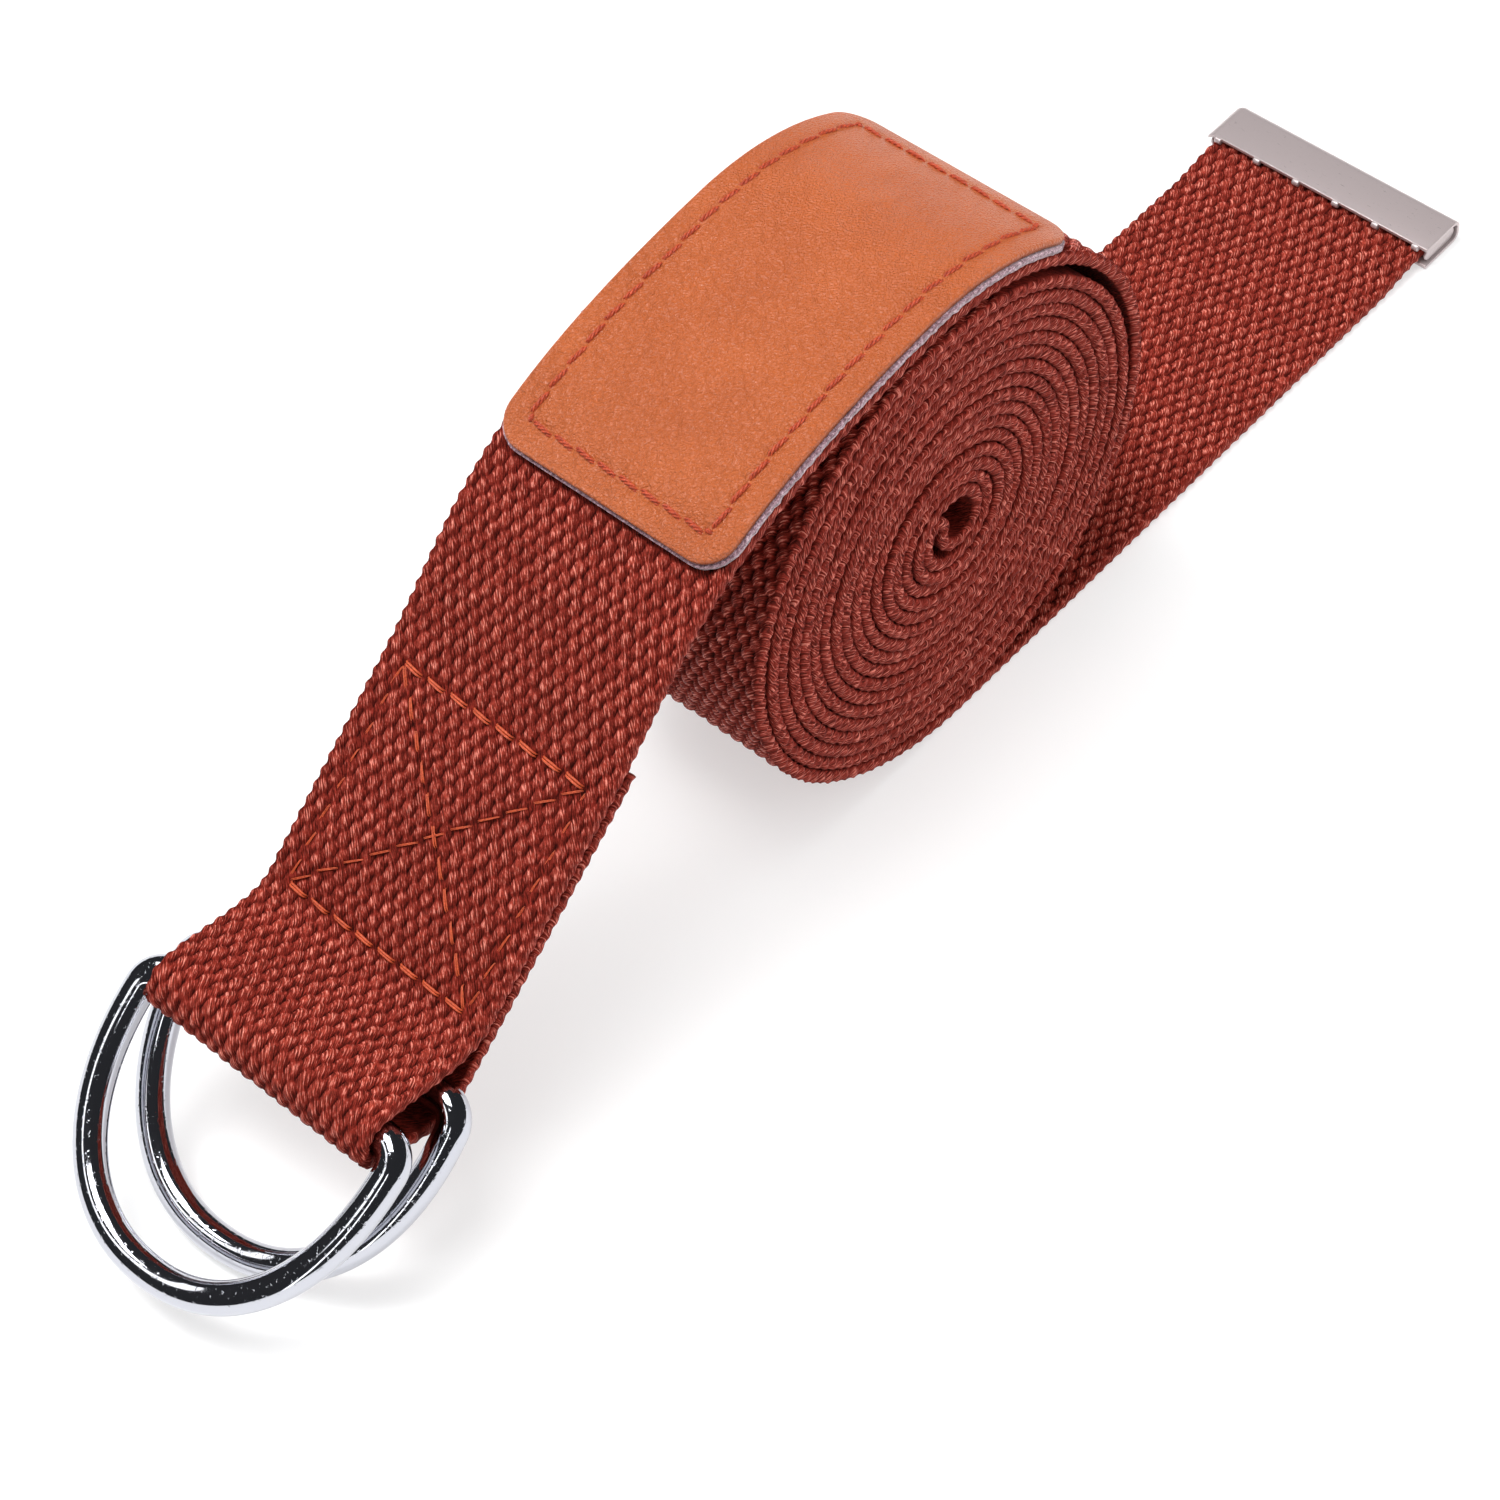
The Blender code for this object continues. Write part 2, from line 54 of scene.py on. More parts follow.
# Webbing, as in the CAD model except for its core, which is tighter and lies to one side
WEBBING_WIDTH = 0.0378
WEBBING_THICKNESS = 0.0018
HALF_THICKNESS = WEBBING_THICKNESS / 2
HALF_WIDTH = WEBBING_WIDTH / 2
PLY_GAP = 0.0003
COIL_X = -0.003
COIL_RADIUS = 0.0379
CORE_RADIUS = 0.0048
CORE_SHARE = 0.30
LAYER_PITCH = 0.001989
COIL_FLATTENING = 0.97
RUN_LEAVES_AT = math.radians(95)
TAIL_LEAVES_AT = math.radians(-90)
OUTER_LAYER_LIFT = 0.0013
LIFT_PEAK = math.radians(50)
LIFT_BEFORE_PEAK = math.radians(110)
LIFT_AFTER_PEAK = math.radians(90)
DOUBLE_PLY_SLOPE = math.radians(39.5)
STITCH_BOX_LENGTH = 0.0315
LOWER_STITCH_LINE = np.array((-0.0916, 0.0271))
SLOPE_UPPER_HANDLE = 0.0429
SLOPE_LOWER_HANDLE = 0.0191
SHOULDER_UPPER_HANDLE = 0.005
SHOULDER_LOWER_HANDLE = 0.006
SHOULDER_ENDS_AT = math.radians(85)
RAW_END_LENGTH = 0.004

# D-rings, as in the CAD model
WIRE_RADIUS = 0.0022
RING_HALF_WIDTH = 0.0216
RING_CORNER_RADIUS = 0.0032
RING_SIDE_LENGTH = 0.0034
RING_BOW_DEPTH = 0.0274
RING_BOW_EXPONENT = 2.18
BAR_CLEARANCE = 0.00035
UPPER_BAR = np.array((-0.1091, 0.0238))
LOWER_BAR = np.array((-0.1009, 0.0212))
UPPER_RING_PITCH = math.radians(32.2)
LOWER_RING_PITCH = math.radians(38.0)
LOWER_RING_SKEW = math.radians(4)

# Label patch, as in the CAD model, and its seam and the box seam
PATCH_START = -0.0289
PATCH_END = 0.0391
PATCH_WIDTH = 0.0366
PATCH_CORNER_RADIUS = 0.0045
BACKING_HEIGHTS = (0.0003, 0.0010)
FACING_HEIGHTS = (0.0012, 0.0020)
PATCH_SEAM_INSET = 0.0036
PATCH_SEAM_CORNER = 0.0007
FACING_ROLL = 0.38 * MM
BACKING_GROWTH = 0.35 * MM
BOX_SEAM_INSET = 0.0035

# Clip: the folded sheet as in the CAD model, with finer tabs and teeth
CLIP_START = 0.1013
CLIP_LENGTH = 0.0083
CLIP_WIDTH = 0.0398
CLIP_HEIGHT = 0.0040
CLIP_SHEET = 0.0006
CLIP_FOLD_RADIUS = 0.0016
CLIP_TAB_INSET = 0.00035
CLIP_TAB_THICKNESS = 0.0004
CLIP_TAB_MARGIN = 0.0009
CLIP_TAB_SETBACK = 0.0003
CLIP_CORNER_FOLD = 0.0012
CLIP_FOLD_STEPS = 10
CLIP_BEVEL = 0.00012
CLIP_TEETH = 6
TOOTH_SIZE = 0.0011
OUTER_TOOTH_INSET = 0.002
STRAP_END_CLEARANCE = 0.0012
TAIL_LIFT_LENGTH = 0.010
TAIL_END_HEIGHT = CLIP_HEIGHT / 2

# Studio
FLOOR_LEVEL = -0.0002
FLOOR_HALF_SIZE = 3.0
BACKDROP_RADIUS = 1.0
BACKDROP_FOOT = -0.01
BACKDROP_HEIGHT = 2.0
BACKDROP_SIDES = 64
LIGHTS_AIM_AT = (-0.03, 0.0, 0.03)

# Weave: a plain weave of thick warp bundles over widely spaced weft picks
PICK = 0.00204
WARP_COLUMNS = 37
BUNDLE = WEBBING_WIDTH / WARP_COLUMNS
BUMP_HALF_LENGTH = 0.00138
BUMP_HALF_WIDTH = 0.00094
WEAVE_DEPTH = 0.00072
WEAVE_BASE = HALF_THICKNESS - 0.00052
BUMP_TABLE = 64
FINE_STEP = PICK / 6
HIDDEN_STEP = PICK / 4
FINE_COLUMNS = np.arange(-53, 54) * BUNDLE / 3
HIDDEN_COLUMNS = np.array((-18.0, -12.0, 0.0, 12.0, 18.0)) * MM
HIDDEN_LEVEL = HALF_THICKNESS - 0.04 * MM
SEAM_DENT_WIDTH = 0.55 * MM
EDGE_CENTRE = 0.0182
EDGE_ANGLES = np.radians((72, 48, 24, 0, -24, -48, -72))
EDGE_BULGE = 0.58
EDGE_ZIGZAG = 0.24 * MM
COIL_SWAY = 0.16 * MM
SWAY_FADE = 0.05
WOVEN_HALF_TURN = 0.124
WOVEN_MARGIN = 0.004


# ---- the strap's centre line

def direction(angle):
    """The unit vector at an angle, or one row for each of several angles."""
    return np.stack((np.cos(angle), np.sin(angle)), axis=-1)


def arc(centre, radius, start, end, steps):
    return centre + radius * direction(np.linspace(start, end, steps + 1))


def bezier(start, start_handle, end_handle, end, steps):
    t = np.linspace(0.0, 1.0, steps + 1)[:, None]
    s = 1 - t
    return s**3 * start + 3 * s * s * t * start_handle + 3 * s * t * t * end_handle + t**3 * end


def lengths_along(points):
    """Distance from the first point to each point, measured along the line."""
    return np.concatenate(([0.0], np.cumsum(np.hypot(*np.diff(points, axis=0).T))))


def interpolate(wanted, places, values):
    """Both columns of the values at the wanted places."""
    return np.stack([np.interp(wanted, places, values[:, axis]) for axis in (0, 1)], axis=-1)


def tail_arm_radius(wound):
    start_offset = RUN_LEAVES_AT - math.pi - TAIL_LEAVES_AT
    return COIL_RADIUS - LAYER_PITCH * (wound + start_offset) / math.pi


def coil_centre():
    return np.array((COIL_X, tail_arm_radius(0.0) * COIL_FLATTENING + HALF_THICKNESS))


def outer_layer_lift(wound):
    """The last half turn stands a little off the coil, most at LIFT_PEAK from where it leaves."""
    spread = np.where(wound < LIFT_PEAK, LIFT_BEFORE_PEAK, LIFT_AFTER_PEAK)
    lift = OUTER_LAYER_LIFT * np.cos(math.pi / 2 * (wound - LIFT_PEAK) / spread) ** 2
    return np.where(wound > LIFT_PEAK + LIFT_AFTER_PEAK, 0.0, lift)


def coil_arm(leaves_at, wound, radius):
    angle = leaves_at - wound
    flat = np.stack((np.cos(angle), np.sin(angle) * COIL_FLATTENING), axis=1)
    return coil_centre() + radius[:, None] * flat


def coil_line():
    """From the tail at the coil's bottom, in to the core, and out to where the run leaves."""
    total = math.pi * (COIL_RADIUS - CORE_RADIUS) / LAYER_PITCH
    wound = np.linspace(0.0, total, 3200)
    tail_arm = coil_arm(TAIL_LEAVES_AT, wound, tail_arm_radius(wound))
    run_radius = COIL_RADIUS - LAYER_PITCH * wound / math.pi + outer_layer_lift(wound)
    run_arm = coil_arm(RUN_LEAVES_AT, wound, run_radius)
    centre = tail_arm[-1] + (run_arm[-1] - tail_arm[-1]) * CORE_SHARE
    tail_side = (tail_arm[-1] - centre) / 2
    run_side = (run_arm[-1] - centre) / 2
    tail_angle = math.atan2(tail_side[1], tail_side[0])
    run_angle = math.atan2(run_side[1], run_side[0])
    tail_reach = float(np.hypot(*tail_side))
    run_reach = float(np.hypot(*run_side))
    into_core = arc(centre + tail_side, tail_reach, tail_angle, tail_angle - math.pi, 60)
    out_of_core = arc(centre + run_side, run_reach, run_angle + math.pi, run_angle + 2 * math.pi, 60)
    return np.concatenate((tail_arm, into_core[1:], out_of_core[1:-1], run_arm[::-1]))


def tail_line():
    """From the end inside the clip, down to the floor and along it to the coil."""
    end = np.array((CLIP_START + CLIP_LENGTH - STRAP_END_CLEARANCE, TAIL_END_HEIGHT))
    high = np.array((CLIP_START - 0.001, TAIL_END_HEIGHT))
    low = np.array((CLIP_START - TAIL_LIFT_LENGTH, HALF_THICKNESS))
    third = np.array(((high[0] - low[0]) / 3, 0.0))
    foot = np.array((COIL_X + 0.0005, HALF_THICKNESS))
    lift = bezier(high, high - third, low + third, low, 30)
    return np.concatenate(([end], lift, [foot]))


def run_line(coil_end):
    """From the coil's top, down the double ply, round both bars and back under to the raw end."""
    along = direction(DOUBLE_PLY_SLOPE)
    normal = np.array((-along[1], along[0]))
    upper_low = LOWER_STITCH_LINE - normal * HALF_THICKNESS
    upper_high = upper_low + along * STITCH_BOX_LENGTH
    leaving = direction(RUN_LEAVES_AT + math.pi / 2)
    slope_start = coil_end + leaving * SLOPE_UPPER_HANDLE
    slope_end = upper_high + along * SLOPE_LOWER_HANDLE
    slope = bezier(coil_end, slope_start, slope_end, upper_high, 200)
    wrap = WIRE_RADIUS + BAR_CLEARANCE + HALF_THICKNESS
    bar_top = UPPER_BAR + wrap * direction(SHOULDER_ENDS_AT)
    arriving = direction(SHOULDER_ENDS_AT + math.pi / 2)
    shoulder_start = upper_low - along * SHOULDER_UPPER_HANDLE
    shoulder_end = bar_top - arriving * SHOULDER_LOWER_HANDLE
    shoulder = bezier(upper_low, shoulder_start, shoulder_end, bar_top, 60)
    reach = np.array((HALF_WIDTH * math.sin(LOWER_RING_SKEW), 0.0))
    near_end = LOWER_BAR - reach
    far_end = LOWER_BAR + reach
    drop = near_end - UPPER_BAR
    under = 1.5 * math.pi + math.atan2(drop[1], drop[0])
    level = 1.5 * math.pi
    round_upper = arc(UPPER_BAR, wrap, SHOULDER_ENDS_AT, under, 80)
    round_near = arc(near_end, wrap, under, level, 12)
    round_far = arc(far_end, wrap, level, level + DOUBLE_PLY_SLOPE, 24)
    lower_low = LOWER_STITCH_LINE - normal * (HALF_THICKNESS * 3 + PLY_GAP)
    lower_high = lower_low + along * (STITCH_BOX_LENGTH + RAW_END_LENGTH)
    parts = (slope[1:], [upper_low], shoulder[1:], round_upper[1:], round_near, round_far)
    return np.concatenate(parts + ([lower_low, lower_high],)), upper_high, lower_low


class Strip:
    """The strap's centre line: places run along it, 0 where the run leaves the coil."""

    def __init__(self):
        tail = tail_line()
        coil = coil_line()
        run, stitch_top, stitch_turn = run_line(coil[-1])
        rough = np.concatenate((tail, coil, run))
        steps = np.hypot(*np.diff(rough, axis=0).T)
        keep = np.concatenate(([True], steps > 1e-7))
        rough = rough[keep]
        lengths = lengths_along(rough)
        departure = self.length_at(rough, lengths, coil[-1])
        count = int(lengths[-1] / (0.1 * MM))
        even = np.linspace(0.0, lengths[-1], count)
        line = interpolate(even, lengths, rough)
        tangent = np.gradient(line, axis=0)
        window = np.hanning(13)
        window /= window.sum()
        padded = np.pad(tangent, ((6, 6), (0, 0)), mode="edge")
        tangent = np.stack([np.convolve(padded[:, axis], window, "valid") for axis in (0, 1)], axis=1)
        tangent /= np.hypot(*tangent.T)[:, None]
        self.line = line
        self.normal = np.stack((tangent[:, 1], -tangent[:, 0]), axis=1)
        self.places = even - departure
        self.start = self.places[0]
        self.end = self.places[-1]
        marks = [self.length_at(rough, lengths, mark) for mark in (coil[0], stitch_top, stitch_turn)]
        self.coil_foot, self.box_top, self.box_turn = (mark - departure for mark in marks)

    @staticmethod
    def length_at(points, lengths, wanted):
        distance = np.hypot(*(points - wanted).T)
        return lengths[int(np.argmin(distance))]

    def frame(self, place):
        """The centre line's points and outward normals, in X and Z."""
        centre = interpolate(place, self.places, self.line)
        normal = interpolate(place, self.places, self.normal)
        return centre, normal

    def at(self, place, across, height):
        """World points at places along, positions across, and heights over the outer face."""
        centre, normal = self.frame(place)
        flat = centre + normal * (HALF_THICKNESS + np.asarray(height))[..., None]
        sideways = np.broadcast_to(across, flat[..., 0].shape)
        return np.stack((flat[..., 0], sideways, flat[..., 1]), axis=-1)


# ---- mesh helpers

def signed_volume(points, triangles):
    a, b, c = (points[triangles[:, corner]] for corner in range(3))
    return float(np.einsum("ij,ij->i", a, np.cross(b, c)).sum())


def new_object(name, data):
    made = bpy.data.objects.new(name, data)
    bpy.context.scene.collection.objects.link(made)
    return made


def mesh_object(name, points, polygons, attributes=None):
    """An object from points and arrays of equal-sided polygons, wound so that faces point out."""
    points = np.asarray(points, float)
    triangles = []
    for block in polygons:
        for corner in range(1, block.shape[1] - 1):
            triangles.append(block[:, (0, corner, corner + 1)])
    if signed_volume(points, np.concatenate(triangles)) < 0:
        polygons = [block[:, ::-1] for block in polygons]
    mesh = bpy.data.meshes.new(name)
    sizes = np.concatenate([np.full(len(block), block.shape[1]) for block in polygons])
    corners = np.concatenate([block.ravel() for block in polygons])
    starts = np.concatenate(([0], np.cumsum(sizes)[:-1]))
    mesh.vertices.add(len(points))
    mesh.vertices.foreach_set("co", points.astype(np.float32).ravel())
    mesh.loops.add(len(corners))
    mesh.loops.foreach_set("vertex_index", corners.astype(np.int32))
    mesh.polygons.add(len(sizes))
    mesh.polygons.foreach_set("loop_start", starts.astype(np.int32))
    for key, values in (attributes or {}).items():
        values = np.asarray(values, np.float32)
        kind = "FLOAT" if values.ndim == 1 else "FLOAT_VECTOR"
        attribute = mesh.attributes.new(key, kind, "POINT")
        attribute.data.foreach_set("value" if values.ndim == 1 else "vector", values.ravel())
    mesh.update(calc_edges=True)
    mesh.validate()
    mesh.shade_smooth()
    return new_object(name, mesh)


def grid_quads(rows, columns, first=0, closed=False):
    """Quads of a grid of points numbered row by row, closed across its columns if asked."""
    row = np.arange(rows - 1)[:, None]
    column = np.arange(columns if closed else columns - 1)[None, :]
    after = (column + 1) % columns
    a = first + row * columns + column
    b = first + row * columns + after
    c = first + (row + 1) * columns + after
    d = first + (row + 1) * columns + column
    return np.stack([np.broadcast_to(corner, a.shape).ravel() for corner in (a, b, c, d)], axis=1)


def finish_piece(piece, material, replaced, body="strap"):
    """Gives a piece its material, the CAD node that it replaces and its body."""
    piece.data.materials.append(material)
    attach(piece, body)
    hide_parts(replaced)


# ---- webbing

def weave_relief(along, across, turned, heights):
    """0 in the pits of the plain weave, about 1 on its bumps. The two faces are half a repeat apart.

    The heights make each bump a little unlike its neighbours.
    """
    row_here = np.round(along / PICK)
    best = np.zeros(np.broadcast(along, across).shape)
    for step in (-1, 0, 1):
        row = row_here + step
        parity = np.mod(row + turned, 2)
        column = np.round((across / BUNDLE - parity) / 2)
        off_along = along - row * PICK
        off_across = across - BUNDLE * (2 * column + parity)
        dome = 1 - (off_along / BUMP_HALF_LENGTH) ** 2 - (off_across / BUMP_HALF_WIDTH) ** 2
        size = heights[np.mod(row, BUMP_TABLE).astype(int), np.mod(column, BUMP_TABLE).astype(int)]
        best = np.maximum(best, np.sqrt(np.maximum(dome, 0.0)) * size)
    return best


def distance_to_segment(x, y, start, end):
    way = np.array(end) - np.array(start)
    share = ((x - start[0]) * way[0] + (y - start[1]) * way[1]) / float(way @ way)
    share = np.clip(share, 0.0, 1.0)
    return np.hypot(x - start[0] - share * way[0], y - start[1] - share * way[1])


def box_seam_lines():
    """The box-and-cross seam in its own plane: distance down from the upper line, and across."""
    half = HALF_WIDTH - BOX_SEAM_INSET
    length = STITCH_BOX_LENGTH
    corners = ((0.0, -half), (0.0, half), (length, half), (length, -half))
    sides = [(corners[i], corners[(i + 1) % 4]) for i in range(4)]
    return sides + [(corners[0], corners[2]), (corners[1], corners[3])]


def seam_dent(strip, place, across):
    """1 on a line of sewing and 0 away from it, on both plies of the sewn box."""
    pull = np.zeros(np.broadcast(place, across).shape)
    for start, end in box_seam_lines():
        on_top = distance_to_segment(place - strip.box_top, across, start, end)
        below = strip.box_turn + STITCH_BOX_LENGTH - place
        underneath = distance_to_segment(below, across, start, end)
        for distance in (on_top, underneath):
            pull = np.maximum(pull, np.exp(-(distance / SEAM_DENT_WIDTH) ** 2))
    return pull


def edge_swell(place):
    """Half the strip's thickness at its edges: the weft's turns and some unevenness."""
    turns = np.sin(2 * math.pi * place / PICK)
    uneven = np.sin(place * 1310.0) + np.sin(place * 2110.0 + 2.0)
    return (0.95 + 0.10 * turns + 0.04 * uneven) * MM


def sway(place, strip):
    """The layers of the coil don't lie exactly over each other: a slow drift across."""
    fade_in = np.clip((place - strip.coil_foot) / SWAY_FADE, 0, 1)
    fade_out = np.clip((-0.06 - place) / SWAY_FADE, 0, 1)
    drift = np.sin(place * 37.0) + 0.7 * np.sin(place * 91.0 + 1.3) + 0.5 * np.sin(place * 173.0 + 4.0)
    return COIL_SWAY * drift * (fade_in * fade_out)


def woven_face(strip, heights, places, side):
    """Positions across, levels and relief of one face of the strap, with the weave in it."""
    place = places[:, None]
    across = np.broadcast_to(FINE_COLUMNS * side, (len(places), len(FINE_COLUMNS)))
    relief = weave_relief(place, across, 0 if side > 0 else 1, heights)
    if side > 0:
        relief = relief * (1 - 0.55 * seam_dent(strip, place, across))
        covered = (place > PATCH_START - MM) & (place < PATCH_END + MM)
        under_patch = covered & (np.abs(across) < PATCH_WIDTH / 2 - MM)
        relief = np.where(under_patch, relief * 0.5, relief)
    return across, side * (WEAVE_BASE + WEAVE_DEPTH * relief), relief


def hidden_face(places, side):
    """The same for a face that lies against another layer, where the weave is left out."""
    across = np.broadcast_to(HIDDEN_COLUMNS * side, (len(places), len(HIDDEN_COLUMNS)))
    return across, np.full(across.shape, side * HIDDEN_LEVEL), np.full(across.shape, 0.35)


def woven_edge(places, side):
    """The same for one edge, where the weft turns back and zigzags between the faces."""
    place = places[:, None]
    wave = np.cos(2 * math.pi * place / PICK)
    loop = np.sin(2 * math.pi * place / PICK) * side
    angle = EDGE_ANGLES[None, :] * side
    bulge = (EDGE_BULGE + 0.13 * loop) * MM
    across = side * (EDGE_CENTRE + bulge * np.cos(angle))
    level = EDGE_ZIGZAG * wave * np.cos(angle) + edge_swell(place) * np.sin(angle)
    # The relief of an edge only colours it: lowest towards the faces where the layers meet, as painted
    # shade in the gaps between the coil's layers.
    gap_shade = (1 - np.cos(angle)) * (0.5 - 0.5 * loop)
    relief = 0.62 + 0.10 * np.cos(angle) + 0.06 * loop - 0.42 * gap_shade
    return across, level, relief


def webbing_zone(strip, heights, places, fine_outer, fine_inner):
    """Points, weave coordinates and relief of one stretch, row by row round the section."""
    place = places[:, None]
    centre, normal = strip.frame(places)
    blocks = []
    for side, fine in ((1, fine_outer), (-1, fine_inner)):
        blocks.append(woven_face(strip, heights, places, side) if fine else hidden_face(places, side))
        blocks.append(woven_edge(places, side))
    across, level, relief = (np.concatenate([block[i] for block in blocks], axis=1) for i in range(3))
    flat = centre[:, None, :] + normal[:, None, :] * level[..., None]
    shifted = across + sway(place, strip)
    points = np.stack((flat[..., 0], shifted, flat[..., 1]), axis=-1)
    weave = np.stack((np.broadcast_to(place, across.shape) / MM, across / MM, level / MM), axis=-1)
    return points, weave, relief


def section_positions(fine_outer, fine_inner):
    """Where each point of a section lies round it, from 0 to 1, to join unlike sections."""
    sides = []
    for begin, fine in ((0.0, fine_outer), (0.5, fine_inner)):
        across = (FINE_COLUMNS if fine else HIDDEN_COLUMNS) / (2 * EDGE_CENTRE) + 0.5
        sides.append(begin + 0.4 * across)
        sides.append(begin + 0.4 + 0.1 * (np.arange(len(EDGE_ANGLES)) + 0.5) / len(EDGE_ANGLES))
    return np.concatenate(sides)


def bridge(first_row, first_at, second_row, second_at):
    """Triangles between two closed rows with different numbers of points."""
    i, j = 0, 0
    n, m = len(first_row), len(second_row)
    triangles = []
    while i < n or j < m:
        next_first = first_at[i + 1] if i + 1 < n else first_at[0] + 1
        next_second = second_at[j + 1] if j + 1 < m else second_at[0] + 1
        a, b = first_row[i % n], second_row[j % m]
        if j >= m or (i < n and next_first <= next_second):
            triangles.append((a, first_row[(i + 1) % n], b))
            i += 1
        else:
            triangles.append((a, second_row[(j + 1) % m], b))
            j += 1
    return np.array(triangles)


def make_webbing(strip, material):
    """The whole strap in six stretches, each woven on the faces that can be seen."""
    heights = np.random.default_rng(7).uniform(0.86, 1.08, (BUMP_TABLE, BUMP_TABLE))
    tail_side = strip.coil_foot + WOVEN_HALF_TURN
    run_side = -WOVEN_HALF_TURN - 2 * WOVEN_MARGIN
    box_side = strip.box_top + WOVEN_MARGIN
    cuts = (
        (strip.start, strip.coil_foot, FINE_STEP, True, True),
        (strip.coil_foot, tail_side, FINE_STEP, False, True),
        (tail_side, run_side, HIDDEN_STEP, False, False),
        (run_side, -WOVEN_MARGIN, FINE_STEP, True, False),
        (-WOVEN_MARGIN, box_side, FINE_STEP, True, True),
        (box_side, strip.end, FINE_STEP, True, False),
    )
    points, weave, relief, polygons, ends = [], [], [], [], []
    total = 0
    for low, high, step, fine_outer, fine_inner in cuts:
        first = math.ceil(low / step)
        last = math.floor(high / step - 0.01)
        places = np.arange(first, last + 1) * step
        zone_points, zone_weave, zone_relief = webbing_zone(strip, heights, places, fine_outer, fine_inner)
        rows, columns = zone_relief.shape
        polygons.append(grid_quads(rows, columns, total, closed=True))
        at = section_positions(fine_outer, fine_inner)
        first_row = total + np.arange(columns)
        last_row = first_row + (rows - 1) * columns
        if ends:
            polygons.append(bridge(*ends[-1], first_row, at))
        else:
            polygons.append(first_row[None, ::-1])
        ends.append((last_row, at))
        points.append(zone_points.reshape(-1, 3))
        weave.append(zone_weave.reshape(-1, 3))
        relief.append(zone_relief.ravel())
        total += rows * columns
    polygons.append(ends[-1][0][None, :])
    attributes = {"strap_place": np.concatenate(weave), "relief": np.concatenate(relief)}
    piece = mesh_object("woven_strap", np.concatenate(points), polygons, attributes)
    finish_piece(piece, material, "webbing")
    return piece


# ---- label patch

def box_distance(x, y):
    """Distance outside a quadrant's corner at the origin, negative inside it."""
    return np.hypot(np.maximum(x, 0), np.maximum(y, 0)) + np.minimum(np.maximum(x, y), 0)


def corner_distance(place, across, grow=0.0):
    """Distance inwards from the patch's rounded outline."""
    half_length = (PATCH_END - PATCH_START) / 2 + grow
    middle = (PATCH_END + PATCH_START) / 2
    half_width = PATCH_WIDTH / 2 + grow
    radius = PATCH_CORNER_RADIUS + grow
    x = np.abs(place - middle) - (half_length - radius)
    y = np.abs(across) - (half_width - radius)
    return radius - box_distance(x, y)


def edge_weighted(count, length, first_steps):
    """Positions from 0 to length, close together at both ends."""
    inner = np.linspace(first_steps[-1], length - first_steps[-1], count)
    return np.concatenate((first_steps[:-1], inner, length - first_steps[:-1][::-1]))


def patch_grid(grow=0.0):
    """Places and positions across of a grid whose rows shorten in the rounded corners."""
    step = 0.3 * MM
    first_steps = np.array((0.0, 0.04, 0.12, 0.24, 0.42)) * MM
    length = PATCH_END - PATCH_START + 2 * grow
    radius = PATCH_CORNER_RADIUS + grow
    turn = np.radians(np.arange(0, 90, 6))
    in_corner = radius * (1 - np.cos(turn))
    middle = np.linspace(radius, length - radius, int((length - 2 * radius) / step))
    along = np.concatenate((in_corner, middle, length - in_corner[::-1]))
    rest = radius - np.minimum(np.minimum(along, length - along), radius)
    half = PATCH_WIDTH / 2 + grow - radius + np.sqrt(np.maximum(radius**2 - rest**2, 0.0))
    full = PATCH_WIDTH + 2 * grow
    share = edge_weighted(int(full / step), full, first_steps) / full * 2 - 1
    place = np.repeat((PATCH_START - grow + along)[:, None], len(share), axis=1)
    across = half[:, None] * share[None, :]
    return place, across


def patch_seam_distance(place, across):
    """Distance from the rectangle of perimeter sewing."""
    half_length = (PATCH_END - PATCH_START) / 2 - PATCH_SEAM_INSET
    middle = (PATCH_END + PATCH_START) / 2
    x = np.abs(place - middle) - half_length
    y = np.abs(across) - (PATCH_WIDTH / 2 - PATCH_SEAM_INSET)
    return np.abs(box_distance(x, y))


def smooth_noise(x, y, seed, waves=14, shortest=4 * MM, longest=26 * MM):
    """A sum of waves in random directions, between about -1 and 1."""
    rng = np.random.default_rng(seed)
    total = np.zeros(np.broadcast(x, y).shape)
    for _ in range(waves):
        heading = rng.uniform(0, 2 * math.pi)
        size = rng.uniform(shortest, longest)
        phase = rng.uniform(0, 2 * math.pi)
        total += np.sin(2 * math.pi * (x * math.cos(heading) + y * math.sin(heading)) / size + phase)
    return total / math.sqrt(waves)


def facing_height(place, across):
    """Top of the leather: rolled edge, pulled down along the sewing, soft between."""
    inward = np.maximum(corner_distance(place, across), 0.0)
    rest = np.clip(FACING_ROLL - inward, 0.0, FACING_ROLL)
    edge_drop = FACING_ROLL - np.sqrt(np.maximum(FACING_ROLL**2 - rest**2, 0.0))
    pull = np.exp(-(patch_seam_distance(place, across) / (0.75 * MM)) ** 2)
    swell = 0.05 * MM * smooth_noise(place, across, 3) * np.clip(inward / (2 * MM), 0, 1)
    return FACING_HEIGHTS[1] - edge_drop - 0.20 * MM * pull + swell


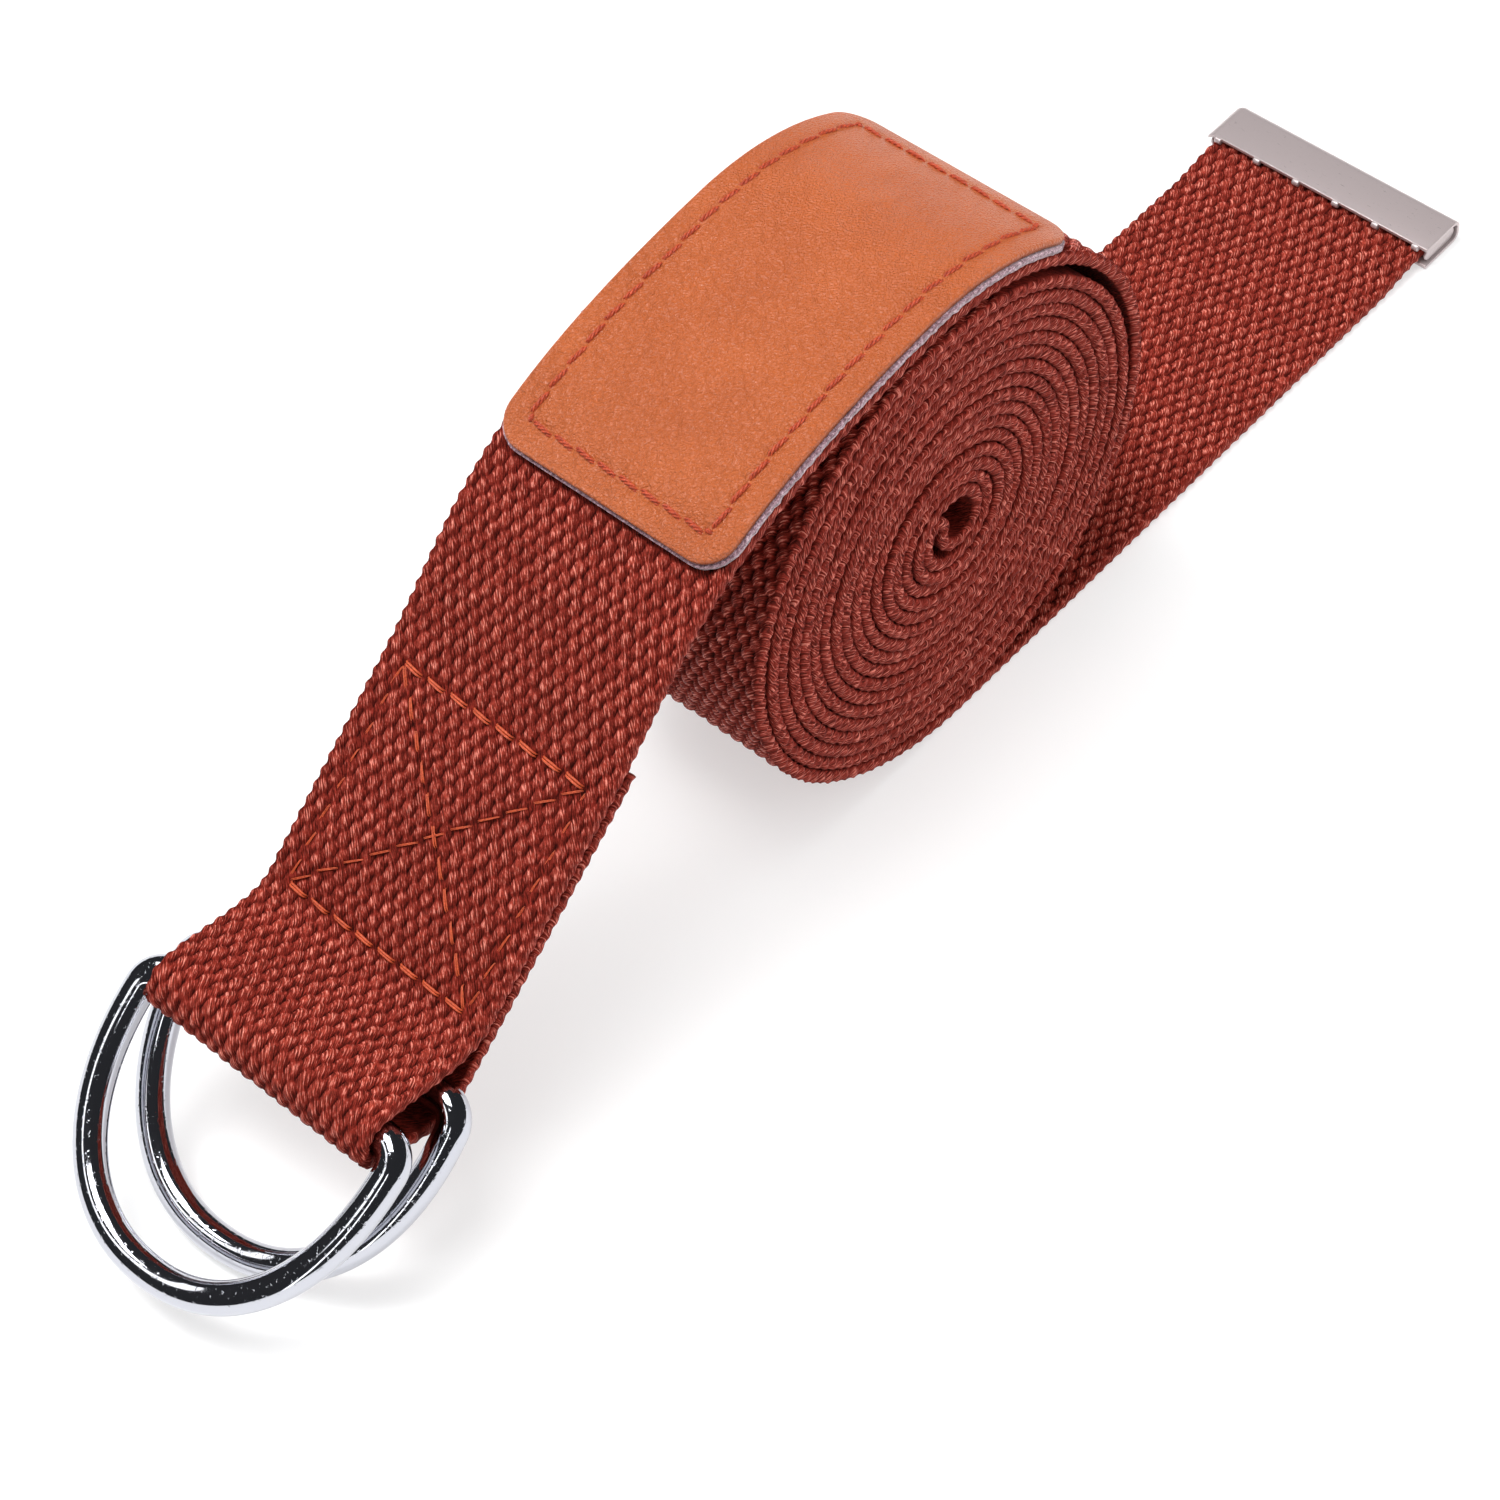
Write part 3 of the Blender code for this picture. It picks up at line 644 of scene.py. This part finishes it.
def patch_layer(strip, name, place, across, low, high):
    """A closed layer between two height fields on the same grid."""
    rows, columns = place.shape
    count = rows * columns
    top = strip.at(place, across, high).reshape(-1, 3)
    bottom = strip.at(place, across, low).reshape(-1, 3)
    quads = grid_quads(rows, columns)
    numbers = np.arange(count).reshape(rows, columns)
    sides = (numbers[0, :], numbers[1:, -1], numbers[-1, -2::-1], numbers[-2:0:-1, 0])
    rim = np.concatenate(sides)
    after = np.roll(rim, -1)
    wall = np.stack((rim, rim + count, after + count, after), axis=1)
    points = np.concatenate((top, bottom))
    flat = np.stack((place.ravel() / MM, across.ravel() / MM), axis=1)
    top_places = np.column_stack((flat, np.zeros(count)))
    bottom_places = np.column_stack((flat, np.ones(count)))
    polygons = [quads, quads[:, ::-1] + count, wall]
    return mesh_object(name, points, polygons, {"strap_place": np.concatenate((top_places, bottom_places))})


def make_facing(strip, material):
    place, across = patch_grid()
    low = np.full(place.shape, FACING_HEIGHTS[0] - 0.05 * MM)
    piece = patch_layer(strip, "leather_facing", place, across, low, facing_height(place, across))
    finish_piece(piece, material, "label_patch_facing")


def make_backing(strip, material):
    """A layer that shows all round the leather, uneven along its rim."""
    place, across = patch_grid(BACKING_GROWTH)
    rough = smooth_noise(place, across, 11, waves=30, shortest=0.5 * MM, longest=2.5 * MM)
    rim = np.exp(-np.maximum(corner_distance(place, across, BACKING_GROWTH), 0) / (0.3 * MM))
    high = np.full(place.shape, BACKING_HEIGHTS[1]) + 0.12 * MM * rim * rough
    low = np.full(place.shape, BACKING_HEIGHTS[0] - 0.15 * MM)
    ragged = 1 + 0.004 * rim * smooth_noise(place, across, 12, waves=24, shortest=0.4 * MM, longest=2 * MM)
    piece = patch_layer(strip, "fibre_backing", place, across * ragged, low, high)
    finish_piece(piece, material, "label_patch_backing")


# ---- sewing

STITCH_RINGS = 15
PLY_SIDES = 7
# Each stitch's pitch, gap, plies, lean and twist
LABEL_TOP_STITCH = (3.4 * MM, 0.12 * MM, 3, 0.42 * MM, 9.0)
LABEL_UNDER_STITCH = (3.6 * MM, 0.4 * MM, 2, 0.0, 9.0)
BOX_STITCH = (4.1 * MM, 0.9 * MM, 2, 0.34 * MM, 0.9)


def thread_tube(centre, radius):
    """Points of a tube along a line of points, drawn in at both ends."""
    tangent = np.gradient(centre, axis=0)
    tangent /= np.linalg.norm(tangent, axis=1)[:, None]
    guide = np.cross(tangent[len(tangent) // 2], (0.31, 0.87, 0.39))
    first = np.cross(tangent, guide)
    first /= np.linalg.norm(first, axis=1)[:, None]
    second = np.cross(tangent, first)
    angle = np.linspace(0, 2 * math.pi, PLY_SIDES, endpoint=False)
    taper = np.sin(np.linspace(0.25, math.pi - 0.25, len(centre))) ** 0.4
    spoke = first[:, None] * np.cos(angle)[None, :, None] + second[:, None] * np.sin(angle)[None, :, None]
    points = centre[:, None] + spoke * (radius * taper)[:, None, None]
    return points.reshape(-1, 3)


def sewing(name, surface, seams, pitch, gap, plies, lean, twist):
    """Separate stitches of plied thread, each dipping into the cloth at its ends.

    A seam is its start, its end, its thread's radius and how far it is pulled into the cloth.
    The plies lie side by side where a stitch begins, give or take, and turn by the twist.
    """
    points, quads, caps = [], [], []
    total = 0
    share = np.linspace(0.0, 1.0, STITCH_RINGS)
    dip = np.abs(2 * share - 1) ** 7
    rng = np.random.default_rng(len(seams) * 31 + int(pitch / MM * 10))
    for start, end, radius, sunk in seams:
        start, end = np.array(start), np.array(end)
        length = float(np.hypot(*(end - start)))
        count = max(round(length / pitch), 1)
        way = (end - start) / length
        side = np.array((-way[1], way[0]))
        for number in range(count):
            begin = (number * length / count) + gap / 2
            finish = ((number + 1) * length / count) - gap / 2
            wander = rng.uniform(-0.08, 0.08, 2) * MM
            along = begin + (finish - begin) * share
            off = lean * (share - 0.5) + wander[0] + (wander[1] - wander[0]) * share
            twist_start = rng.uniform(-0.5, 0.5)
            pulled = sunk + rng.uniform(-0.04, 0.08) * MM
            for ply in range(plies):
                turn = twist_start + 2 * math.pi * ply / plies + twist * (share - 0.5)
                spread = radius * 1.05 if plies > 1 else 0.0
                flat = start + along[:, None] * way + (off + spread * np.cos(turn))[:, None] * side
                height = radius - pulled + spread * np.sin(turn) - dip * radius * 3.6
                points.append(thread_tube(surface(flat[:, 0], flat[:, 1], height), radius))
                quads.append(grid_quads(STITCH_RINGS, PLY_SIDES, total, closed=True))
                ring = total + np.arange(PLY_SIDES)
                caps.append(ring[::-1])
                caps.append(ring + (STITCH_RINGS - 1) * PLY_SIDES)
                total += STITCH_RINGS * PLY_SIDES
    polygons = [np.concatenate(quads), np.array(caps)]
    return mesh_object(name, np.concatenate(points), polygons)


def patch_seams():
    """The label's perimeter seam: a rectangle with its corners cut."""
    start, end = PATCH_START + PATCH_SEAM_INSET, PATCH_END - PATCH_SEAM_INSET
    half = PATCH_WIDTH / 2 - PATCH_SEAM_INSET
    cut = PATCH_SEAM_CORNER
    corners = (
        (start + cut, -half), (end - cut, -half), (end, -half + cut), (end, half - cut),
        (end - cut, half), (start + cut, half), (start, half - cut), (start, -half + cut),
    )
    return [(corners[i], corners[(i + 1) % 8]) for i in range(8)]


def make_label_sewing(strip, material):
    def on_leather(place, across, height):
        return strip.at(place, across, facing_height(place, across) + height)

    def under_strap(place, across, height):
        return strip.at(place, across, -WEBBING_THICKNESS - height)

    thick = [(*seam, 0.17 * MM, 0.05 * MM) for seam in patch_seams()]
    top = sewing("label_stitches_top", on_leather, thick, *LABEL_TOP_STITCH)
    finish_piece(top, material, "label_stitch_needle_thread")
    thin = [(*seam, 0.07 * MM, 0.0) for seam in patch_seams()]
    low = sewing("label_stitches_under", under_strap, thin, *LABEL_UNDER_STITCH)
    finish_piece(low, material, "label_stitch_bobbin_thread")


def make_box_sewing(strip, material):
    def on_top(down, across, height):
        return strip.at(strip.box_top + down, across, height)

    def underneath(down, across, height):
        return strip.at(strip.box_turn + STITCH_BOX_LENGTH - down, across, height)

    ends, sides = (0.17 * MM, -0.08 * MM), (0.08 * MM, 0.34 * MM)
    crosses = ((0.07 * MM, 0.05 * MM), (0.12 * MM, 0.24 * MM))
    weights = (ends, sides, ends, sides, *crosses)
    seams = [(*seam, *weight) for seam, weight in zip(box_seam_lines(), weights)]

    for name, surface, node in (
        ("box_stitches_top", on_top, "box_stitch_needle_thread"),
        ("box_stitches_under", underneath, "box_stitch_bobbin_thread"),
    ):
        piece = sewing(name, surface, seams, *BOX_STITCH)
        finish_piece(piece, material, node)


# ---- rings

def ring_outline():
    """The wire's centre line in the ring's own plane: the bar on Y, the bow out along -X."""
    corner = RING_CORNER_RADIUS
    turn = RING_HALF_WIDTH - corner
    bar = np.linspace(0.0, turn, 20)
    straight = np.stack((np.zeros(20), bar), axis=1)[:-1]
    corner_arc = arc(np.array((-corner, turn)), corner, 0.0, math.pi / 2, 16)[:-1]
    angle = np.linspace(0.0, math.pi / 2, 70)
    power = 2 / RING_BOW_EXPONENT
    across = RING_HALF_WIDTH * np.maximum(np.cos(angle), 0) ** power
    out = RING_SIDE_LENGTH + RING_BOW_DEPTH * np.sin(angle) ** power
    half = np.concatenate((straight, corner_arc, np.stack((-out, across), axis=1)))
    mirrored = half[1:-1][::-1] * np.array((1, -1))
    outline = np.concatenate((half, mirrored))
    closed = np.concatenate((outline, outline[:1]))
    lengths = lengths_along(closed)
    even = np.linspace(0.0, lengths[-1], 320, endpoint=False)
    return interpolate(even, lengths, closed)


def make_ring(which, bar, pitch, skew, material):
    """Round wire along the outline, tilted by its pitch and turned by its skew about its bar."""
    outline = ring_outline()
    tangent = np.roll(outline, -1, axis=0) - np.roll(outline, 1, axis=0)
    tangent /= np.hypot(*tangent.T)[:, None]
    sideways = np.stack((tangent[:, 1], -tangent[:, 0]), axis=1)
    sides = 32
    angle = np.linspace(0, 2 * math.pi, sides, endpoint=False)
    flat = outline[:, None] + sideways[:, None] * (WIRE_RADIUS * np.cos(angle))[None, :, None]
    lift = np.broadcast_to(WIRE_RADIUS * np.sin(angle), flat.shape[:2])
    local = np.concatenate((flat, lift[..., None]), axis=2).reshape(-1, 3)
    turn = Matrix.Rotation(skew, 3, "Z") @ Matrix.Rotation(-pitch, 3, "Y")
    points = local @ np.array(turn).T + np.array((bar[0], 0.0, bar[1]))
    count = len(outline)
    numbers = np.arange(count * sides).reshape(count, sides)
    wrapped = np.concatenate((numbers, numbers[:1]))
    a, b = wrapped[:-1], wrapped[1:]
    quads = np.stack((a, b, np.roll(b, -1, axis=1), np.roll(a, -1, axis=1)), axis=-1).reshape(-1, 4)
    piece = mesh_object(f"{which}_ring_wire", points, [quads])
    finish_piece(piece, material, f"d_ring_{which}", f"{which}_ring")


# ---- clip

def extruded(outline, sides, shift=lambda x, y, z: 0.0):
    """Points and faces of an outline in XZ pulled through the given Y values.

    The shift gives how far each outline point moves in Z at each Y value.
    """
    count = len(outline)
    points = [(x, y, z + shift(x, y, z)) for y in sides for x, z in outline]
    around = np.arange(count)
    after = (around + 1) % count
    walls = []
    for row in range(len(sides) - 1):
        low = row * count
        high = low + count
        walls.append(np.stack((low + around, low + after, high + after, high + around), axis=1))
    caps = np.stack((around[::-1], around + count * (len(sides) - 1)))
    return np.array(points), np.concatenate(walls), caps


def clip_corner_drop(x, y, z):
    """The clip's upper plate is folded down along its +Y edge."""
    if z < CLIP_HEIGHT / 2:
        return 0.0
    beyond = max(y - (CLIP_WIDTH / 2 - CLIP_CORNER_FOLD), 0.0) / CLIP_CORNER_FOLD
    return -CLIP_CORNER_FOLD * 0.6 * beyond ** 2


def make_clip(material):
    """The folded sheet, its two side tabs and the teeth along its mouth, as one piece."""
    end = CLIP_START + CLIP_LENGTH
    outer = CLIP_FOLD_RADIUS
    inner = CLIP_FOLD_RADIUS - CLIP_SHEET
    quarter = math.pi / 2
    upper = np.array((end - outer, CLIP_HEIGHT - outer))
    lower = np.array((end - outer, outer))
    outline = np.concatenate((
        [(CLIP_START, 0.0)],
        arc(lower, outer, -quarter, 0.0, CLIP_FOLD_STEPS),
        arc(upper, outer, 0.0, quarter, CLIP_FOLD_STEPS),
        [(CLIP_START, CLIP_HEIGHT), (CLIP_START, CLIP_HEIGHT - CLIP_SHEET)],
        arc(upper, inner, quarter, 0.0, CLIP_FOLD_STEPS),
        arc(lower, inner, 0.0, -quarter, CLIP_FOLD_STEPS),
        [(CLIP_START, CLIP_SHEET)],
    ))
    half = CLIP_WIDTH / 2
    folded = half - CLIP_CORNER_FOLD * np.array((1.0, 0.75, 0.5, 0.25, 0.0))
    blocks = [extruded(outline, np.concatenate(([-half], folded)), clip_corner_drop)]
    tab_end = CLIP_HEIGHT / 2 - CLIP_TAB_MARGIN
    near = np.array((CLIP_START + CLIP_TAB_SETBACK + tab_end, CLIP_HEIGHT / 2))
    far = np.array((end - CLIP_TAB_MARGIN - tab_end, CLIP_HEIGHT / 2))
    tab = np.concatenate((
        arc(near, tab_end, 3 * quarter, quarter, 12),
        arc(far, tab_end, quarter, -quarter, 12),
    ))[::-1]
    tab_outside = half - CLIP_TAB_INSET
    for side in (-1, 1):
        faces = sorted((side * tab_outside, side * (tab_outside - CLIP_TAB_THICKNESS)))
        blocks.append(extruded(tab, faces))
    tooth = TOOTH_SIZE / 2
    tooth_middle = np.array((CLIP_START, CLIP_HEIGHT - tooth))
    tooth_outline = arc(tooth_middle, tooth, math.pi, -math.pi, 12)[:-1]
    last_tooth = half - OUTER_TOOTH_INSET
    for y in np.linspace(-last_tooth, last_tooth, CLIP_TEETH):
        blocks.append(extruded(tooth_outline, (y - tooth, y + tooth)))
    points, walls, caps = [], [], []
    total = 0
    for block, wall, cap in blocks:
        points.append(block)
        walls.append(wall + total)
        caps.append(cap + total)
        total += len(block)
    piece = mesh_object("nickel_clip", np.concatenate(points), [np.concatenate(walls), *caps])
    bevel = piece.modifiers.new("rounded_edges", "BEVEL")
    bevel.width = CLIP_BEVEL
    bevel.segments = 3
    bevel.limit_method = "ANGLE"
    finish_piece(piece, material, "end_clip")


# ---- materials

class Nodes:
    """One material's node tree, with short calls to fill it."""

    def __init__(self, name):
        self.material = bpy.data.materials.new(name)
        self.material.use_nodes = True
        self.tree = self.material.node_tree
        self.shader = self.tree.nodes["Principled BSDF"]

    def set(self, **values):
        for key, value in values.items():
            self.shader.inputs[key.replace("_", " ")].default_value = value

    def link(self, output, socket):
        self.tree.links.new(output, self.shader.inputs[socket])

    def add(self, kind, values=None, links=None, **properties):
        node = self.tree.nodes.new("ShaderNode" + kind)
        for key, value in properties.items():
            setattr(node, key, value)
        for key, value in (values or {}).items():
            node.inputs[key].default_value = value
        for key, output in (links or {}).items():
            self.tree.links.new(output, node.inputs[key])
        return node

    def dot(self, vector, way):
        node = self.add("VectorMath", {1: way}, {0: vector}, operation="DOT_PRODUCT")
        return node.outputs["Value"]

    def feed(self, socket, value):
        """Links another node's output to a socket, or sets a plain number or colour on it."""
        if isinstance(value, bpy.types.NodeSocket):
            self.tree.links.new(value, socket)
        elif isinstance(value, tuple):
            socket.default_value = (*value, 1.0)
        else:
            socket.default_value = value

    def math(self, operation, *values):
        node = self.add("Math", operation=operation)
        for socket, value in zip(node.inputs, values):
            self.feed(socket, value)
        return node.outputs[0]

    def ramp(self, factor, stops):
        """A colour ramp's output. Each stop is its place, and a colour or a shade of grey."""
        node = self.add("ValToRGB", links={"Fac": factor})
        while len(node.color_ramp.elements) < len(stops):
            node.color_ramp.elements.new(0.5)
        for element, (place, colour) in zip(node.color_ramp.elements, stops):
            element.position = place
            element.color = (*colour, 1.0) if isinstance(colour, tuple) else (colour, colour, colour, 1.0)
        return node.outputs["Color"]

    def mix(self, blend, factor, first, second):
        node = self.add("Mix", data_type="RGBA", blend_type=blend)
        for number, value in ((0, factor), (6, first), (7, second)):
            self.feed(node.inputs[number], value)
        return node.outputs[2]

    def bump(self, height, distance, strength=1.0, normal=None):
        links = {"Height": height}
        if normal is not None:
            links["Normal"] = normal
        return self.add("Bump", {"Strength": strength, "Distance": distance}, links).outputs["Normal"]

    def place(self):
        return self.add("Attribute", attribute_name="strap_place").outputs["Vector"]

    def position(self):
        return self.add("NewGeometry").outputs["Position"]

    def noise(self, vector, scale, detail=2.0, rough=0.5):
        values = {"Scale": scale, "Detail": detail, "Roughness": rough}
        return self.add("TexNoise", values, {"Vector": vector}).outputs["Fac"]


def webbing_material():
    nodes = Nodes("rust_cotton_webbing")
    place = nodes.place()
    relief = nodes.add("Attribute", attribute_name="relief").outputs["Fac"]
    lengthwise = nodes.dot(place, (-0.60, 0.50, 0.27))
    crosswise = nodes.dot(place, (3.4, 4.1, 3.6))
    strand_place = nodes.add("CombineXYZ", links={0: lengthwise, 1: crosswise}).outputs["Vector"]
    strand = nodes.noise(strand_place, 1.0, 2.0, 0.55)
    fibre = nodes.noise(place, 5.0, 3.0, 0.7)
    patches = nodes.noise(place, 0.12, 3.0)
    # The colour is darker where the relief is low: painted shade in the weave's pits, in the seam dents and
    # in the gaps between the coil's layers.
    ragged = nodes.math("MULTIPLY_ADD", strand, 0.7, -0.35)
    ragged = nodes.math("ADD", relief, ragged)
    relief_shaded_colour = nodes.ramp(ragged, (
        (0.0, (0.040, 0.0040, 0.0028)),
        (0.35, (0.130, 0.0125, 0.0080)),
        (0.75, (0.22, 0.0222, 0.0138)),
        (1.0, (0.31, 0.037, 0.022)),
    ))
    # Random lighter and darker strands, whose brightest parts are also painted glints along the strands.
    strand_tone_and_glint = nodes.ramp(strand, ((0.37, 0.40), (0.50, 0.95), (0.64, 1.6)))
    colour = nodes.mix("MULTIPLY", 1.0, relief_shaded_colour, strand_tone_and_glint)
    # Painted highlight: on the bumps' tops the brightest strands are mixed towards a pale pink glint
    # colour.
    raised = nodes.ramp(ragged, ((0.55, 0.0), (1.0, 1.0)))
    painted_glint = nodes.ramp(strand, ((0.54, 0.0), (0.64, 0.85)))
    colour = nodes.mix("MIX", nodes.math("MULTIPLY", raised, painted_glint), colour, (0.76, 0.29, 0.22))
    speck = nodes.ramp(fibre, ((0.3, 0.7), (0.7, 1.3)))
    colour = nodes.mix("MULTIPLY", 1.0, colour, speck)
    cloud = nodes.ramp(patches, ((0.3, 0.92), (0.7, 1.08)))
    colour = nodes.mix("MULTIPLY", 1.0, colour, cloud)
    nodes.link(colour, "Base Color")
    normal = nodes.bump(strand, 0.22 * MM)
    normal = nodes.bump(fibre, 0.06 * MM, 0.7, normal)
    nodes.link(normal, "Normal")
    nodes.link(nodes.ramp(ragged, ((0.5, 0.95), (1.0, 0.46))), "Roughness")
    nodes.set(Specular_IOR_Level=0.15, Specular_Tint=(1.0, 0.7, 0.6, 1.0))
    return nodes.material


def leather_material():
    nodes = Nodes("tan_coated_leather")
    place = nodes.place()
    warp = nodes.noise(place, 0.8, 2.0)
    shifted = nodes.add("VectorMath", links={0: place, 1: warp}, operation="ADD").outputs["Vector"]
    cells = nodes.add("TexVoronoi", {"Scale": 3.0}, {"Vector": shifted}).outputs["Distance"]
    fine = nodes.noise(place, 5.0, 4.0, 0.6)
    cloud = nodes.noise(place, 0.09, 3.0)
    colour = nodes.ramp(cloud, ((0.3, (0.428, 0.100, 0.029)), (0.7, (0.486, 0.118, 0.034))))
    pores = nodes.ramp(cells, ((0.0, 1.04), (0.55, 0.93)))
    colour = nodes.mix("MULTIPLY", 1.0, colour, pores)
    nodes.link(colour, "Base Color")
    normal = nodes.bump(cells, 0.22 * MM, 1.0)
    normal = nodes.bump(fine, 0.06 * MM, 1.0, normal)
    nodes.link(normal, "Normal")
    rough = nodes.ramp(fine, ((0.3, 0.24), (0.7, 0.36)))
    nodes.link(rough, "Roughness")
    nodes.set(Specular_IOR_Level=0.5)
    return nodes.material


def backing_material():
    nodes = Nodes("mauve_fibre_backing")
    place = nodes.place()
    fuzz = nodes.noise(place, 2.6, 4.0, 0.75)
    colour = nodes.ramp(fuzz, (
        (0.34, (0.05, 0.018, 0.025)),
        (0.5, (0.29, 0.155, 0.19)),
        (0.66, (0.78, 0.58, 0.66)),
    ))
    nodes.link(colour, "Base Color")
    nodes.link(nodes.bump(fuzz, 0.2 * MM), "Normal")
    nodes.set(Roughness=0.9, Sheen_Weight=0.5)
    return nodes.material


def thread_material(name, dark, light):
    nodes = Nodes(name)
    position = nodes.position()
    fibre = nodes.noise(position, 4000.0, 3.0, 0.6)
    nodes.link(nodes.ramp(fibre, ((0.3, dark), (0.7, light))), "Base Color")
    nodes.link(nodes.bump(fibre, 0.03 * MM), "Normal")
    nodes.set(Roughness=0.5)
    return nodes.material


def chrome_material():
    nodes = Nodes("bright_chrome")
    position = nodes.position()
    scuffs = nodes.noise(position, 900.0, 4.0, 0.7)
    nodes.link(nodes.ramp(scuffs, ((0.35, 0.04), (0.75, 0.13))), "Roughness")
    waves = nodes.noise(position, 160.0, 1.0)
    pits = nodes.ramp(nodes.noise(position, 1600.0, 2.0), ((0.60, 0.0), (0.68, 1.0)))
    normal = nodes.bump(waves, 0.08 * MM, 0.5)
    nodes.link(nodes.bump(pits, 0.02 * MM, 0.5, normal), "Normal")
    nodes.set(Base_Color=(0.56, 0.57, 0.62, 1.0), Metallic=1.0)
    return nodes.material


def nickel_material():
    nodes = Nodes("satin_nickel")
    position = nodes.position()
    brushed = nodes.add("Mapping", {"Scale": (4.0, 0.35, 4.0)}, {"Vector": position}).outputs["Vector"]
    grain = nodes.noise(brushed, 1500.0, 4.0, 0.7)
    nodes.link(nodes.ramp(grain, ((0.3, 0.26), (0.7, 0.40))), "Roughness")
    nodes.link(nodes.bump(grain, 0.01 * MM, 0.5), "Normal")
    nodes.set(Base_Color=(0.53, 0.455, 0.455, 1.0), Metallic=0.5)
    return nodes.material


def studio_material(name, shade, roughness, specular, glow):
    nodes = Nodes(name)
    nodes.set(Base_Color=(shade, shade, shade, 1.0), Roughness=roughness, Specular_IOR_Level=specular)
    nodes.set(Emission_Color=(1.0, 1.0, 1.0, 1.0), Emission_Strength=glow)
    return nodes.material


# ---- setting

# Each light's name, direction, distance, width, height, power and whether metal mirrors it
SOFTBOXES = (
    ("key", (-0.12, 0.12, 0.97), 1.4, 0.7, 0.7, 13.0, True),
    ("gloss", (-0.20, 0.40, 0.88), 1.4, 0.22, 0.22, 1.8, True),
    ("slant", (-0.12, 0.45, 0.88), 1.4, 0.5, 0.5, 5.0, False),
    ("front_fill", (0.1, -0.9, 0.5), 1.5, 1.4, 1.0, 9.0, False),
    ("back_fill", (-0.1, 0.9, 0.5), 1.5, 1.4, 1.0, 8.0, False),
    ("right_fill", (0.8, -0.5, 0.5), 1.5, 1.2, 1.0, 11.0, False),
    ("sky_fill", (-0.1, 0.2, 1.0), 1.8, 2.6, 2.6, 8.0, False),
    ("back_strip", (-0.42, 0.50, 0.75), 1.8, 2.4, 0.3, 5.0, True),
    ("side_strip", (-0.9, -0.42, 0.35), 1.2, 0.10, 1.1, 1.1, True),
)


def view_axes(azimuth, elevation, roll):
    """Right, up and backward axes of a camera that looks along +Y at azimuth 0."""
    a, e, r = azimuth, elevation, roll
    back = Vector((math.sin(a) * math.cos(e), -math.cos(a) * math.cos(e), math.sin(e)))
    level = Vector((math.cos(a), math.sin(a), 0.0))
    upright = back.cross(level)
    right = math.cos(r) * level + math.sin(r) * upright
    up = math.cos(r) * upright - math.sin(r) * level
    return right, up, back


def make_camera():
    look_at = Vector((-0.02611, -0.00105, 0.0))
    distance = 0.53088
    right, up, back = view_axes(math.radians(-43.6), math.radians(52.86), math.radians(-6.09))
    camera = bpy.data.cameras.new("camera")
    camera.sensor_width = 36.0
    camera.lens = 94.81
    camera.clip_start = 0.01
    holder = new_object("camera", camera)
    turn = Matrix((right, up, back)).transposed().to_4x4()
    holder.matrix_world = Matrix.Translation(look_at + back * distance) @ turn
    bpy.context.scene.camera = holder


def make_softbox(name, direction_to_light, distance, width, height, power, mirrored):
    """An area light aimed at the object. One that isn't mirrored doesn't show in the metal."""
    light = bpy.data.lights.new(name, "AREA")
    light.shape = "RECTANGLE"
    light.size = width
    light.size_y = height
    light.energy = power
    holder = new_object(name, light)
    away = Vector(direction_to_light).normalized()
    holder.location = Vector(LIGHTS_AIM_AT) + away * distance
    holder.rotation_mode = "QUATERNION"
    holder.rotation_quaternion = away.to_track_quat("Z", "Y")
    holder.visible_glossy = mirrored


def make_floor():
    corners = [(x * FLOOR_HALF_SIZE, y * FLOOR_HALF_SIZE, FLOOR_LEVEL)
               for x, y in ((-1, -1), (1, -1), (1, 1), (-1, 1))]
    mesh = bpy.data.meshes.new("floor")
    mesh.from_pydata(corners, [], [(0, 1, 2, 3)])
    mesh.materials.append(studio_material("pale_floor", 0.52, 0.9, 0.1, 0.5))
    new_object("floor", mesh)


def make_backdrop():
    """A white wall all round, so that low views end in white. It takes no part in the lighting."""
    angle = np.linspace(0.0, 2 * math.pi, BACKDROP_SIDES, endpoint=False)
    ring = direction(angle) * BACKDROP_RADIUS
    levels = (BACKDROP_FOOT, BACKDROP_HEIGHT)
    points = np.concatenate([np.column_stack((ring, np.full(BACKDROP_SIDES, level))) for level in levels])
    mesh = bpy.data.meshes.new("backdrop")
    mesh.from_pydata(points.tolist(), [], grid_quads(2, BACKDROP_SIDES, closed=True).tolist())
    mesh.materials.append(studio_material("white_backdrop", 0.0, 1.0, 0.0, 1.0))
    wall = new_object("backdrop", mesh)
    wall.visible_diffuse = False
    wall.visible_glossy = False
    wall.visible_transmission = False
    wall.visible_shadow = False


def make_world():
    world = bpy.data.worlds.new("studio")
    world.use_nodes = True
    background = world.node_tree.nodes["Background"]
    background.inputs["Color"].default_value = (0.9, 0.93, 1.0, 1.0)
    background.inputs["Strength"].default_value = 0.035
    bpy.context.scene.world = world


def make_setting():
    make_floor()
    make_backdrop()
    make_world()
    for softbox in SOFTBOXES:
        make_softbox(*softbox)
    bpy.context.scene.view_settings.view_transform = "Standard"


# ---- the object

def main():
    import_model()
    make_camera()
    make_setting()
    strip = Strip()
    webbing = make_webbing(strip, webbing_material())
    make_facing(strip, leather_material())
    make_backing(strip, backing_material())
    label_thread = thread_material("dark_red_thread", (0.20, 0.017, 0.006), (0.60, 0.088, 0.028))
    make_label_sewing(strip, label_thread)
    box_thread = thread_material("orange_thread", (0.32, 0.036, 0.011), (0.68, 0.115, 0.036))
    make_box_sewing(strip, box_thread)
    chrome = chrome_material()
    make_ring("upper", UPPER_BAR, UPPER_RING_PITCH, 0.0, chrome)
    make_ring("lower", LOWER_BAR, LOWER_RING_PITCH, LOWER_RING_SKEW, chrome)
    make_clip(nickel_material())


main()
